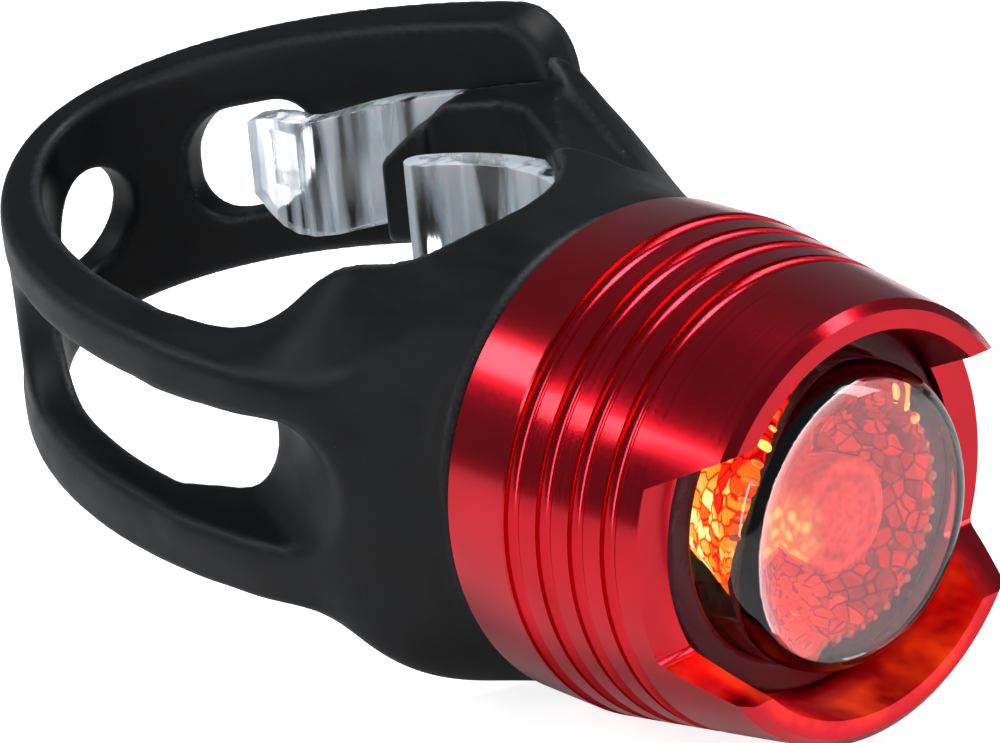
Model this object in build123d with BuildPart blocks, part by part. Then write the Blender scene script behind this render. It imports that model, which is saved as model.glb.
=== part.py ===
"""Small strap-on rear light for a bicycle, with a turned metal bezel and a silicone holder.

Millimetres, +Z up. The origin lies on the axis of the tube that the light is strapped to, at the
height of the lamp's own axis. The lens looks along -Y, and the strap closes on the +X side.
"""

from build123d import *
import math
import os

os.makedirs("parts", exist_ok=True)

# Where the lamp sits on the tube
saddle_radius = 7.7
saddle_floor = 5.9
axis_side = 2.5
overrun = 40.0

# Clearances that several pieces share
fit_gap = 0.05
seat_gap = 0.1
soft_gap = 0.3
seam_gap = 0.2

# Two coin cells and their tray, which set the lamp's diameter
cell_radius = 10.0
cell_thickness = 3.2
cell_cap_inset = 1.3
cell_step = 0.35
cell_edge_round = 0.25
cell_side_gap = 0.15
tray_wall = 0.75
tray_lift_notch = 6.0
contact_thickness = 0.25
contact_width = 5.0

# Clear core that carries the bezel's thread, the cells and the hook
core_tube_wall = 1.1
core_tube_overlap = 0.55
core_floor_front = 2.2
core_floor_thickness = 1.6
jaw_thickness = 2.2
jaw_top = 11.8
jaw_bottom = -4.0
jaw_start_angle = -60.0
jaw_end_angle = 50.0
arm_thickness = 2.0
arm_end_angle = 54.0
arm_root_front = 5.0
arm_height = 5.0
arm_top_over_mid = 2.9
arm_tip_round = 0.6
arm_foot_side = 7.0
arm_foot_drop = 3.5
barb_height = 4.0
barb_length = 3.0
barb_reach = 4.6
barb_lip = 0.8
barb_lip_thickness = 0.9
barb_front_gap = 0.9
barb_round = 0.5

# Turned bezel
thread_wall = 1.8
ring_seat_step = 0.85
ring_seat_depth = 1.6
board_step = 0.9
ledge_thickness = 0.9
ledge_width = 2.1
seal_side_gap = 0.15
face_ring_width = 1.0
plain_band = 4.98
rear_chamfer = 0.7
front_bevel = 0.45
groove_radius = 0.52
groove_pitch = 2.1
groove_first = 5.65
groove_count = 4
window_depth = 4.37
window_root_half = 4.85
window_front_half = 6.9
window_fillet = 0.6
o_ring_section = 0.38

# Board, retaining ring, spacer and the small parts on the board
board_edge_gap = 0.5
board_thickness = 1.0
retaining_ring_thickness = 0.9
retaining_ring_width = 1.35
spacer_wall = 1.1
spacer_length = 4.35
switch_side = 2.0
switch_length = 3.0
switch_height = 1.1
switch_inset = 1.0
plunger_radius = 0.6
plunger_bore_depth = 0.8
chip_length = 3.0
chip_width = 2.6
chip_height = 0.9
chip_back = 6.2
resistor_length = 1.2
resistor_width = 0.6
resistor_height = 0.4
resistor_spacing = 1.6
resistor_count = 4
capacitor_radius = 1.5
capacitor_height = 1.0

# Clear lens, which is pressed to switch the lamp, and its seal
lens_flange_gap = 0.25
lens_side_gap = 0.8
lens_reach = 5.3
lens_recess = 0.36
lens_edge_round = 1.9
lens_wall = 1.1
lens_face = 1.3
lens_flange_thickness = 0.8
lens_press = 0.5
lens_seal_width = 1.8
lens_seal_thickness = 1.1

# Emitter and its reflector
led_base_side = 3.5
led_base_height = 0.8
led_lens_radius = 3.2
led_lens_recess = 1.0
led_lens_dome = 0.9
led_lens_foot_radius = 1.5
led_lens_foot = 1.2
reflector_side_gap = 0.4
reflector_recess = 1.3
reflector_wall = 0.7
reflector_foot_radius = 3.9
reflector_facets = 12

# Silicone holder and its strap
cup_step = 0.6
band_thickness = 2.73
band_height = 13.1
band_edge_round = 0.9
loop_half_width = 15.6
loop_depth = 35.2
loop_side = -0.3
loop_back = 16.1
loop_lift = 5.53
loop_turn = 2.86
band_tilt = 22.4
band_pitch = -2.3
flank_end = 26.0
far_flank_wall = 3.0
flank_lift = 4.0
near_band_front = 1.0
mouth_front = 8.0
far_mouth = 0.5
hump_side = 5.4
hump_front = 5.5
near_facet_side = 10.8
near_facet_back = 5.0
near_facet_height = 9.3
near_facet_tilt = 45.0
near_facet_pitch = 13.3
far_strip_front = -5.6
far_strip_side = 2.0
far_strip_rise = 4.5
far_strip_pitch = -8.8
far_strip_round = 2.2
tail_end = 2.9
tail_end_round = 4.5
split_side = 4.2

# Openings through the strap
near_slot_length = 27.3
near_slot_height = 6.8
near_slot_back = 21.65
near_slot_lift = -0.1
near_slot_tilt = 2.2
near_slot_cut_angle = 52.0
back_hole_width = 5.3
back_hole_height = 6.1
back_hole_side = 0.45
far_hole_length = 14.0
far_hole_height = 6.8
far_hole_corner = 3.0
far_hole_angle = 44.0
far_hole_drop = 0.3

# Radii, worked out from the cells outwards and back in to the lens
cell_cap_radius = cell_radius - cell_cap_inset
contact_length = 2 * cell_radius - contact_width
tray_inner_radius = cell_radius + cell_side_gap
tray_outer_radius = tray_inner_radius + tray_wall
core_tube_bore = tray_outer_radius + seat_gap
core_tube_radius = core_tube_bore + core_tube_wall
thread_radius = core_tube_radius + seat_gap
bezel_radius = thread_radius + thread_wall
ring_seat_radius = thread_radius + ring_seat_step
cup_radius = bezel_radius - cup_step
board_bore_radius = thread_radius - board_step
board_radius = board_bore_radius - board_edge_gap
ring_outer_radius = board_bore_radius - fit_gap
ring_inner_radius = ring_outer_radius - retaining_ring_width
spacer_inner_radius = ring_outer_radius - spacer_wall
ledge_hole_radius = board_bore_radius - ledge_width
lens_flange_radius = spacer_inner_radius - lens_flange_gap
lens_radius = ledge_hole_radius - lens_side_gap
lens_seal_inner = lens_radius + seat_gap
lens_seal_outer = lens_seal_inner + lens_seal_width
recess_radius = lens_seal_outer + seal_side_gap
front_radius = recess_radius + face_ring_width + front_bevel
reflector_radius = lens_radius - lens_wall - reflector_side_gap
switch_reach = lens_flange_radius - switch_inset

# Depths in front of the bezel's rear edge, worked out from the cells forwards
floor_back = -(core_floor_front + core_floor_thickness)
cell_back = contact_thickness - core_floor_front
cell_middle = cell_back + cell_thickness
cell_front = cell_middle + cell_thickness
core_tube_front = cell_front + core_tube_overlap
thread_depth = core_tube_front + seat_gap
ring_back = thread_depth + 2 * seat_gap
board_back = ring_back + retaining_ring_thickness
board_front = board_back + board_thickness
ledge_start = board_front + spacer_length + fit_gap
ledge_front = ledge_start + ledge_thickness
lens_flange_front = ledge_start - seat_gap
lens_flange_back = lens_flange_front - lens_flange_thickness
lens_front = ledge_front + lens_reach
bezel_length = lens_front + lens_recess
window_root = bezel_length - window_depth
reflector_front = lens_front - lens_face - reflector_recess
led_lens_front = reflector_front - led_lens_recess

# Slopes and places, worked out from the sizes above
rear_y = -(saddle_radius + saddle_floor)
taper_slope = (bezel_radius - front_radius) / (bezel_length - plain_band)
side_slope = math.tan(math.radians(band_tilt))
back_slope = math.tan(math.radians(band_pitch))
strip_slope = math.tan(math.radians(far_strip_pitch))
inner_half_width = loop_half_width - band_thickness
inner_depth = loop_depth - band_thickness

light_axis = Axis((axis_side, rear_y, 0), (0, -1, 0))
profile_plane = Plane(origin=(axis_side, rear_y, 0), x_dir=(1, 0, 0), z_dir=(0, 0, -1))
loop_plane = Plane(
    origin=(axis_side + loop_side, rear_y + loop_back, 0),
    x_dir=(math.cos(math.radians(loop_turn)), math.sin(math.radians(loop_turn)), 0),
    z_dir=(0, 0, 1),
)
band_middle = Plane(
    origin=(axis_side + loop_side, rear_y + loop_back, loop_lift),
    x_dir=(1, 0, side_slope),
    z_dir=(-side_slope, -back_slope, 1),
)


def front_plane(depth):
    """Plane across the lamp's axis, this far in front of the bezel's rear edge."""
    return Plane(origin=(axis_side, rear_y - depth, 0), x_dir=(1, 0, 0), z_dir=(0, -1, 0))


def loop_point(side, back):
    """Place in the row's frame of a point of the loop's own plan."""
    return loop_plane.from_local_coords(Vector(side, back, 0))


def middle_height(place):
    """Height of the band's middle plane over a place in plan."""
    across = place.X - axis_side - loop_side
    along = place.Y - rear_y - loop_back
    return loop_lift + side_slope * across + back_slope * along


def save(piece, name):
    """Label one finished piece and write its file."""
    piece.part.label = name
    export_step(piece.part, f"parts/{name}.step")


# Bezel barrel: plain band, taper with rounded grooves, bores, and a window in each side
with BuildPart() as bezel_barrel:
    with BuildSketch(profile_plane):
        with BuildLine():
            Polyline(
                (ring_seat_radius, 0),
                (bezel_radius - rear_chamfer, 0),
                (bezel_radius, rear_chamfer),
                (bezel_radius, plain_band),
                (front_radius + taper_slope * front_bevel, bezel_length - front_bevel),
                (front_radius - front_bevel, bezel_length),
                (recess_radius, bezel_length),
                (recess_radius, ledge_front),
                (ledge_hole_radius, ledge_front),
                (ledge_hole_radius, ledge_start),
                (board_bore_radius, ledge_start),
                (board_bore_radius, thread_depth),
                (thread_radius, thread_depth),
                (thread_radius, ring_seat_depth),
                (ring_seat_radius, ring_seat_depth),
                close=True,
            )
        make_face()
        for groove in range(groove_count):
            place = groove_first + groove_pitch * groove
            with Locations((bezel_radius - taper_slope * (place - plain_band), place)):
                Circle(groove_radius, mode=Mode.SUBTRACT)
    revolve(axis=light_axis)
    with BuildSketch(Plane(origin=(axis_side, rear_y, 0), x_dir=(0, -1, 0), z_dir=(1, 0, 0))):
        flare = (window_front_half - window_root_half) / (bezel_length - window_root)
        past = bezel_length + window_root_half
        with BuildLine():
            Polyline(
                (window_root, -window_root_half),
                (past, -window_root_half - flare * (past - window_root)),
                (past, window_root_half + flare * (past - window_root)),
                (window_root, window_root_half),
                close=True,
            )
        make_face()
        fillet(vertices().sort_by(Axis.Y)[-2:], radius=window_fillet)
    extrude(amount=overrun, both=True, mode=Mode.SUBTRACT)
save(bezel_barrel, "bezel_barrel")

# Seal ring in front of the bezel's inner ledge
with BuildPart() as lens_seal:
    with BuildSketch(profile_plane):
        with Locations((lens_seal_inner, ledge_front)):
            Rectangle(lens_seal_outer - lens_seal_inner, lens_seal_thickness, align=(Align.MIN, Align.MIN))
    revolve(axis=light_axis)
    front_rims = edges().group_by(light_axis)[-1]
    fillet(front_rims, radius=lens_seal_thickness / 3)
save(lens_seal, "lens_seal")

# Clear lens: a cap with a rounded front edge, an open back and a flange behind the ledge
with BuildPart() as lens:
    with BuildSketch(profile_plane):
        with BuildLine():
            Polyline(
                (lens_radius - lens_wall, lens_flange_back),
                (lens_flange_radius, lens_flange_back),
                (lens_flange_radius, lens_flange_front),
                (lens_radius, lens_flange_front),
                (lens_radius, lens_front),
                (0, lens_front),
                (0, lens_front - lens_face),
                (lens_radius - lens_wall, lens_front - lens_face),
                close=True,
            )
        make_face()
    revolve(axis=light_axis)
    outer_rim = edges().filter_by(GeomType.CIRCLE).group_by(light_axis)[-1]
    fillet(outer_rim, radius=lens_edge_round)
save(lens, "lens")

# Faceted reflector bowl round the emitter
with BuildPart() as reflector:
    with BuildSketch(front_plane(board_front)):
        RegularPolygon(reflector_foot_radius, reflector_facets)
    with BuildSketch(front_plane(reflector_front)):
        RegularPolygon(reflector_radius, reflector_facets)
    loft(ruled=True)
    with BuildSketch(front_plane(board_front)):
        RegularPolygon(reflector_foot_radius - reflector_wall, reflector_facets)
    with BuildSketch(front_plane(reflector_front)):
        RegularPolygon(reflector_radius - reflector_wall, reflector_facets)
    loft(ruled=True, mode=Mode.SUBTRACT)
save(reflector, "reflector")

# Emitter: a square package on the board with a round clear lens on it
with BuildPart() as led_base:
    with BuildSketch(front_plane(board_front)):
        Rectangle(led_base_side, led_base_side)
    extrude(amount=led_base_height)
save(led_base, "led_base")

led_lens_back = board_front + led_base_height
led_lens_sphere = (led_lens_radius**2 + led_lens_dome**2) / (2 * led_lens_dome)
led_lens_turn = math.asin(led_lens_radius / led_lens_sphere)
with BuildPart() as led_lens:
    with BuildSketch(profile_plane):
        with BuildLine():
            Polyline(
                (0, led_lens_front),
                (0, led_lens_back),
                (led_lens_foot_radius, led_lens_back),
                (led_lens_foot_radius, led_lens_back + led_lens_foot),
                (led_lens_radius, led_lens_front - led_lens_dome),
            )
            ThreePointArc(
                (led_lens_radius, led_lens_front - led_lens_dome),
                (
                    led_lens_sphere * math.sin(led_lens_turn / 2),
                    led_lens_front - led_lens_sphere * (1 - math.cos(led_lens_turn / 2)),
                ),
                (0, led_lens_front),
            )
        make_face()
    revolve(axis=light_axis)
save(led_lens, "led_lens")

# Round circuit board, the ring that holds it and the spacer in front of it
with BuildPart() as circuit_board:
    with BuildSketch(front_plane(board_back)):
        Circle(board_radius)
    extrude(amount=board_thickness)
save(circuit_board, "circuit_board")

with BuildPart() as retaining_ring:
    with BuildSketch(front_plane(ring_back)):
        Circle(ring_outer_radius)
        Circle(ring_inner_radius, mode=Mode.SUBTRACT)
    extrude(amount=retaining_ring_thickness)
save(retaining_ring, "retaining_ring")

with BuildPart() as spacer_ring:
    with BuildSketch(front_plane(board_front)):
        Circle(ring_outer_radius)
        Circle(spacer_inner_radius, mode=Mode.SUBTRACT)
    extrude(amount=spacer_length)
save(spacer_ring, "spacer_ring")

# Switch under the lens flange: a housing with a bore and a plunger that the flange pushes
bore_floor = board_front + switch_height - plunger_bore_depth
plunger_back = bore_floor + lens_press + fit_gap
plunger_front = lens_flange_back - fit_gap
with BuildPart() as switch_body:
    with BuildSketch(front_plane(board_front)):
        with Locations((0, switch_reach)):
            Rectangle(switch_length, switch_side)
    extrude(amount=switch_height)
    with BuildSketch(front_plane(bore_floor)):
        with Locations((0, switch_reach)):
            Circle(plunger_radius + fit_gap)
    extrude(amount=plunger_bore_depth, mode=Mode.SUBTRACT)
save(switch_body, "switch_body")

with BuildPart() as switch_plunger:
    with BuildSketch(front_plane(plunger_back)):
        with Locations((0, switch_reach)):
            Circle(plunger_radius)
    extrude(amount=plunger_front - plunger_back)
save(switch_plunger, "switch_plunger")

# Small parts soldered to the board's front
with BuildPart() as driver_chip:
    with BuildSketch(front_plane(board_front)):
        with Locations((-chip_back, 0)):
            Rectangle(chip_width, chip_length)
    extrude(amount=chip_height)
save(driver_chip, "driver_chip")

with BuildPart() as board_resistors:
    with BuildSketch(front_plane(board_front)):
        with Locations((0, -chip_back)):
            with GridLocations(resistor_spacing, 0, resistor_count, 1):
                Rectangle(resistor_width, resistor_length)
    extrude(amount=resistor_height)
save(board_resistors, "board_resistors")

with BuildPart() as board_capacitor:
    with BuildSketch(front_plane(board_front)):
        with Locations((chip_back, 0)):
            Circle(capacitor_radius)
    extrude(amount=capacitor_height)
save(board_capacitor, "board_capacitor")

# Spring contacts: a leaf on the board's back, and one under the cells
with BuildPart() as positive_contact:
    with BuildSketch(profile_plane):
        with BuildLine():
            Polyline(
                (-contact_length / 2, board_back - contact_thickness / 2),
                (-contact_length / 4, board_back - contact_thickness / 2),
                (0, cell_front + soft_gap + contact_thickness / 2),
                (contact_length / 4, board_back - contact_thickness / 2),
                (contact_length / 2, board_back - contact_thickness / 2),
            )
            offset(amount=contact_thickness / 2, side=Side.BOTH)
        make_face()
    extrude(amount=contact_width / 2, both=True)
save(positive_contact, "positive_contact")

with BuildPart() as negative_contact:
    with BuildSketch(front_plane(-core_floor_front)):
        Rectangle(contact_length, contact_width)
        with Locations((contact_length / 2, 0), (-contact_length / 2, 0)):
            Circle(contact_width / 2)
    extrude(amount=contact_thickness)
save(negative_contact, "negative_contact")

# Two coin cells, one behind the other, each with a narrower negative cap
for name, back in (("coin_cell_rear", cell_back), ("coin_cell_front", cell_middle)):
    with BuildPart() as coin_cell:
        with BuildSketch(profile_plane):
            with BuildLine():
                Polyline(
                    (0, back),
                    (cell_cap_radius, back),
                    (cell_cap_radius, back + cell_step),
                    (cell_radius, back + cell_step),
                    (cell_radius, back + cell_thickness),
                    (0, back + cell_thickness),
                    close=True,
                )
            make_face()
        revolve(axis=light_axis)
        fillet(edges().filter_by(GeomType.CIRCLE).group_by(light_axis)[-1], radius=cell_edge_round)
    save(coin_cell, name)

# Tray that centres the cells, with a notch for a fingernail
with BuildPart() as battery_tray:
    with BuildSketch(front_plane(cell_back)):
        Circle(tray_outer_radius)
        Circle(tray_inner_radius, mode=Mode.SUBTRACT)
        with Locations((tray_inner_radius, 0)):
            Rectangle(tray_lift_notch, tray_lift_notch, mode=Mode.SUBTRACT)
    extrude(amount=cell_front - cell_back)
save(battery_tray, "battery_tray")

# O-ring in the bezel's rear counterbore
with BuildPart() as bezel_o_ring:
    with BuildSketch(profile_plane):
        with Locations((ring_seat_radius - fit_gap - o_ring_section, ring_seat_depth / 2)):
            Circle(o_ring_section)
    revolve(axis=light_axis)
save(bezel_o_ring, "bezel_o_ring")

# Where the strap's far hole lies on the wall, which the hook's barb goes through
far_angle = math.radians(far_hole_angle)
hole_place = loop_point(inner_half_width * math.cos(far_angle), inner_depth * math.sin(far_angle))
wall_run = (
    loop_point(-inner_half_width * math.sin(far_angle), inner_depth * math.cos(far_angle)) - loop_point(0, 0)
).normalized()
run_slope = side_slope * wall_run.X + back_slope * wall_run.Y
far_hole_plane = Plane(
    origin=(hole_place.X, hole_place.Y, middle_height(hole_place) - far_hole_drop),
    x_dir=(wall_run.X, wall_run.Y, run_slope),
    z_dir=(wall_run.Y, -wall_run.X, 0),
)

# Core: cup with the thread's tube, a jaw round the tube it is strapped to, and the strap's hook
arm_half = inner_half_width - soft_gap
arm_depth = inner_depth - soft_gap
foot_front = loop_back + floor_back + core_floor_thickness / 2
barb_place = barb_front_gap + barb_lip + (barb_length - far_hole_length) / 2
with BuildPart() as hook_arm:
    with BuildSketch(loop_plane):
        with BuildLine():
            outer_edge = EllipticalCenterArc((0, 0), arm_half, arm_depth, arc_size=arm_end_angle)
            inner_edge = EllipticalCenterArc(
                (0, 0), arm_half - arm_thickness, arm_depth - arm_thickness, arc_size=arm_end_angle
            )
            Line(outer_edge @ 1, inner_edge @ 1)
            Polyline(
                outer_edge @ 0,
                (arm_half, -arm_root_front),
                (arm_half - arm_thickness, -arm_root_front),
                inner_edge @ 0,
            )
        make_face()
        fillet(vertices().group_by(Axis.Y)[-1], radius=arm_tip_round)
    extrude(amount=overrun, both=True)
    with BuildSketch(band_middle.offset(arm_top_over_mid - arm_height)):
        Rectangle(2 * overrun, 2 * overrun)
    extrude(amount=arm_height, mode=Mode.INTERSECT)

# Foot under the arm's root, which slants inwards to the core's floor
with BuildPart() as arm_foot:
    with BuildSketch(loop_plane):
        with BuildLine():
            Polyline(
                (arm_half, 0),
                (arm_half, -arm_root_front),
                (arm_foot_side + arm_thickness, -foot_front),
                (arm_foot_side, -foot_front),
                (arm_half - arm_thickness, -arm_root_front),
                (arm_half - arm_thickness, 0),
                close=True,
            )
        make_face()
    extrude(amount=overrun, both=True)
    with BuildSketch(band_middle.offset(arm_top_over_mid - arm_height - arm_foot_drop)):
        Rectangle(2 * overrun, 2 * overrun)
    extrude(amount=arm_height, mode=Mode.INTERSECT)

with BuildPart() as clear_core:
    with BuildSketch(profile_plane):
        with BuildLine():
            Polyline(
                (0, floor_back),
                (thread_radius, floor_back),
                (thread_radius, 0),
                (core_tube_radius, 0),
                (core_tube_radius, core_tube_front),
                (core_tube_bore, core_tube_front),
                (core_tube_bore, -core_floor_front),
                (0, -core_floor_front),
                close=True,
            )
        make_face()
    revolve(axis=light_axis)
    with BuildSketch(Plane.XY.offset(jaw_bottom)):
        with BuildLine():
            jaw_arc = CenterArc(
                (0, 0), saddle_radius + jaw_thickness / 2, jaw_start_angle, jaw_end_angle - jaw_start_angle
            )
            Line(jaw_arc @ 0, ((jaw_arc @ 0).X, rear_y - floor_back))
            offset(amount=jaw_thickness / 2, side=Side.BOTH)
        make_face()
    extrude(amount=jaw_top - jaw_bottom)
    add(hook_arm.part)
    add(arm_foot.part)
    with BuildSketch(far_hole_plane.offset(-soft_gap - arm_thickness / 2)):
        with Locations((barb_place, 0)):
            RectangleRounded(barb_length, barb_height, barb_round)
    extrude(amount=barb_reach + arm_thickness / 2)
    with BuildSketch(far_hole_plane.offset(barb_reach - soft_gap - barb_lip_thickness)):
        with Locations((barb_place - barb_lip / 2, 0)):
            RectangleRounded(barb_length + barb_lip, barb_height, barb_round)
    extrude(amount=barb_lip_thickness)
save(clear_core, "clear_core")

# Silicone: a cup round the core that flows into two flanks and the strap's loop
holder_shares = (
    (0.0, 0.0, 1.0, 0.999, 0.0, 0.0),
    (0.23, 0.82, 0.985, 0.75, 0.25, 0.25),
    (0.46, 1.0, 0.70, 0.38, 0.70, 0.75),
    (0.72, 1.0, 0.50, 0.18, 1.0, 1.25),
    (1.0, 1.0, 0.49, 0.14, 1.0, 1.3),
)
with BuildPart() as holder_blank:
    for back_share, spread_share, height_share, corner_share, tilt_share, lift_share in holder_shares:
        tilt = math.radians(band_tilt * tilt_share)
        back = rear_y + seam_gap + (flank_end - seam_gap) * back_share
        half_width = cup_radius + (loop_half_width - cup_radius) * spread_share
        half_height = cup_radius * height_share
        section = Plane(
            origin=(axis_side, back, flank_lift * lift_share),
            x_dir=(math.cos(tilt), 0, math.sin(tilt)),
            z_dir=(0, -1, 0),
        )
        with BuildSketch(section):
            RectangleRounded(2 * half_width / math.cos(tilt), 2 * half_height, half_height * corner_share)
    loft()

# Loop of the strap: a tall band between two tilted planes, with rounded rims
with BuildPart() as loop_band:
    with BuildSketch(loop_plane):
        with BuildLine():
            EllipticalCenterArc((0, 0), loop_half_width, loop_depth, arc_size=180)
            Polyline(
                (-loop_half_width, 0),
                (-loop_half_width, -near_band_front),
                (-inner_half_width, -near_band_front),
                (-inner_half_width, 0),
            )
            EllipticalCenterArc((0, 0), inner_half_width, inner_depth, arc_size=180)
            Polyline((inner_half_width, 0), (loop_half_width, 0))
        make_face()
    extrude(amount=overrun, both=True)
    with BuildSketch(band_middle.offset(-band_height / 2)):
        Rectangle(3 * overrun, 3 * overrun)
    extrude(amount=band_height, mode=Mode.INTERSECT)
    rim_faces = faces().filter_by(GeomType.PLANE).sort_by(SortBy.AREA)[-2:]
    long_rims = ShapeList([edge for face in rim_faces for edge in face.edges() if edge.length > 2 * band_thickness])
    fillet(long_rims, radius=band_edge_round)

# Long slanted slot near the cup, oval hole at the back, and the hole that goes over the hook
slot_angle = math.radians(near_slot_cut_angle)
slot_plane = Plane(
    origin=(axis_side - loop_half_width, rear_y + near_slot_back, near_slot_lift),
    x_dir=(0, 1, math.tan(math.radians(near_slot_tilt))),
    z_dir=(1, 0, 0),
)
with BuildPart() as near_slot:
    with BuildSketch(slot_plane):
        SlotOverall(near_slot_length, near_slot_height)
    extrude(amount=loop_half_width, dir=(math.cos(slot_angle), math.sin(slot_angle), 0), both=True)

back_place = loop_point(back_hole_side, inner_depth)
back_hole_plane = Plane(
    origin=(back_place.X, back_place.Y, middle_height(back_place)),
    x_dir=(1, 0, side_slope),
    z_dir=(0, -1, 0),
)

# Strap's free side: it starts behind the loop's middle, and its tail ends outside the far flank
tail_place = loop_point(loop_half_width, tail_end)
tail_plane = Plane(
    origin=(tail_place.X, tail_place.Y, middle_height(tail_place)),
    x_dir=(0, 1, back_slope),
    z_dir=(1, 0, side_slope),
)
with BuildPart() as far_side:
    with BuildSketch(loop_plane):
        with Locations((split_side, -overrun)):
            Rectangle(2 * overrun, 3 * overrun, align=(Align.MIN, Align.MIN))
    extrude(amount=overrun, both=True)

with BuildPart() as strap_band:
    add(loop_band.part)
    add(far_side.part, mode=Mode.INTERSECT)
    with BuildSketch(tail_plane):
        Rectangle(2 * overrun, 2 * overrun, align=(Align.MAX, Align.CENTER))
        Rectangle(tail_end_round, 2 * overrun, align=(Align.MIN, Align.CENTER))
        RectangleRounded(overrun, band_height, tail_end_round, align=(Align.MIN, Align.CENTER), mode=Mode.SUBTRACT)
    extrude(amount=overrun, both=True, mode=Mode.SUBTRACT)
    with BuildSketch(far_hole_plane):
        RectangleRounded(far_hole_length, far_hole_height, far_hole_corner)
    extrude(amount=2 * band_thickness, both=True, mode=Mode.SUBTRACT)
save(strap_band, "strap_band")

# Holder: cup, flanks, near side of the loop and its back, open round the tube it is strapped to
mouth_half = inner_half_width * math.sqrt(1 - (mouth_front / inner_depth) ** 2)
with BuildPart() as loop_opening:
    with BuildSketch(loop_plane):
        Ellipse(inner_half_width, inner_depth)
        with Locations((0, mouth_front)):
            Rectangle(2 * overrun, 2 * overrun, align=(Align.CENTER, Align.MAX), mode=Mode.SUBTRACT)
        near_saddle = loop_plane.to_local_coords(Vector(-saddle_radius, 0, 0))
        hump_foot = loop_plane.to_local_coords(Vector(hump_side, -hump_front, 0))
        with BuildLine():
            Polyline(
                (near_saddle.X, near_saddle.Y),
                (-mouth_half, mouth_front),
                (mouth_half, mouth_front),
                (inner_half_width - far_flank_wall - soft_gap, far_mouth),
                (hump_foot.X, hump_foot.Y),
                close=True,
            )
        make_face()
        with Locations((inner_half_width - far_flank_wall - soft_gap, far_mouth)):
            Rectangle(
                far_flank_wall + overrun,
                flank_end - loop_back - far_mouth,
                align=(Align.MIN, Align.MIN),
                mode=Mode.SUBTRACT,
            )
    extrude(amount=overrun, both=True)
    with BuildSketch(Plane.XY):
        Circle(saddle_radius)
    extrude(amount=overrun, both=True)

# Flat strip along the top of the far flank, which drops to the hook's root
strip_plane = Plane(
    origin=(axis_side + loop_side, rear_y + loop_back, loop_lift + far_strip_rise),
    x_dir=(1, 0, side_slope),
    z_dir=(-side_slope, -strip_slope, 1),
)
with BuildPart() as above_strip:
    with BuildSketch(loop_plane):
        Ellipse(arm_half, arm_depth)
        with Locations((far_strip_side, far_strip_front)):
            Rectangle(overrun, overrun, align=(Align.MIN, Align.MIN), mode=Mode.INTERSECT)
        strip_corner = vertices().group_by(Axis.Y)[0].sort_by(Axis.X)[-1]
        fillet(strip_corner, radius=far_strip_round)
    extrude(amount=overrun, both=True)
    with BuildSketch(strip_plane):
        Rectangle(2 * overrun, 2 * overrun)
    extrude(amount=overrun, mode=Mode.INTERSECT)

# Slanting facet along the top of the near flank
near_facet_plane = Plane(
    origin=(axis_side - near_facet_side, rear_y + near_facet_back, near_facet_height),
    x_dir=(1, 0, math.tan(math.radians(near_facet_tilt))),
    z_dir=(-math.tan(math.radians(near_facet_tilt)), -math.tan(math.radians(near_facet_pitch)), 1),
)

with BuildPart() as silicone_holder:
    add(holder_blank.part)
    with BuildSketch(near_facet_plane):
        Rectangle(2 * overrun, 2 * overrun)
    extrude(amount=overrun, mode=Mode.SUBTRACT)
    add(above_strip.part, mode=Mode.SUBTRACT)
    with BuildSketch(loop_plane):
        Rectangle(2 * loop_half_width, overrun, align=(Align.CENTER, Align.MAX))
        Ellipse(loop_half_width, loop_depth)
    extrude(amount=overrun, both=True, mode=Mode.INTERSECT)
    with BuildSketch(loop_plane):
        with Locations((0, tail_end - soft_gap)):
            Rectangle(overrun, overrun, align=(Align.MIN, Align.MIN))
        Ellipse(arm_half, arm_depth, mode=Mode.SUBTRACT)
    extrude(amount=overrun, both=True, mode=Mode.SUBTRACT)
    add(loop_opening.part, mode=Mode.SUBTRACT)
    add(loop_band.part - far_side.part)
    add(near_slot.part, mode=Mode.SUBTRACT)
    with BuildSketch(back_hole_plane):
        Ellipse(back_hole_width / 2, back_hole_height / 2)
    extrude(amount=2 * band_thickness, both=True, mode=Mode.SUBTRACT)
    with BuildSketch(front_plane(floor_back)):
        Circle(thread_radius)
    extrude(amount=overrun, mode=Mode.SUBTRACT)
    add(clear_core.part, mode=Mode.SUBTRACT)
save(silicone_holder, "silicone_holder")
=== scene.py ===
"""Dresses a small strap-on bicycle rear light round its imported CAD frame.

Blender works in metres. Sizes here are millimetres in the frame's axes: the tube that the light is
strapped to runs up Z through the origin, and the lens looks along -Y.
"""

import itertools
import logging
import math
from collections.abc import Callable, Sequence
from dataclasses import dataclass
from enum import Enum

import bmesh
import bpy
import numpy as np
from mathutils import Matrix, Vector


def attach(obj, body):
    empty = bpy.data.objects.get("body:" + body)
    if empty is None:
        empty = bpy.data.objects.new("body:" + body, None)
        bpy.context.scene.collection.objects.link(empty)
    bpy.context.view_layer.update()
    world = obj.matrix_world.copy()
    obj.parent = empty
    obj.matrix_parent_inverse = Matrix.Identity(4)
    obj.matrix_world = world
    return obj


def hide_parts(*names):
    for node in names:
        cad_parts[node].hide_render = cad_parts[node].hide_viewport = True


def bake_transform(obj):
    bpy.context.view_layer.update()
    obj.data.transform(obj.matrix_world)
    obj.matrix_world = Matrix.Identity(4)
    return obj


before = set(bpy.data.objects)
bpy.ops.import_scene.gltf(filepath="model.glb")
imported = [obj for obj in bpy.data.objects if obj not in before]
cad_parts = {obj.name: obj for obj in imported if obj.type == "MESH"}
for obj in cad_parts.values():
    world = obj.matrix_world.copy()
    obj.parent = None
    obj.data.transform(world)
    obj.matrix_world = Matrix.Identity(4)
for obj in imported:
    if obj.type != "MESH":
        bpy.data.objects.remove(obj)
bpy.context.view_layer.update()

MM = 0.001
AXIS_SIDE = 2.5
REAR_Y = -13.6
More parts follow.
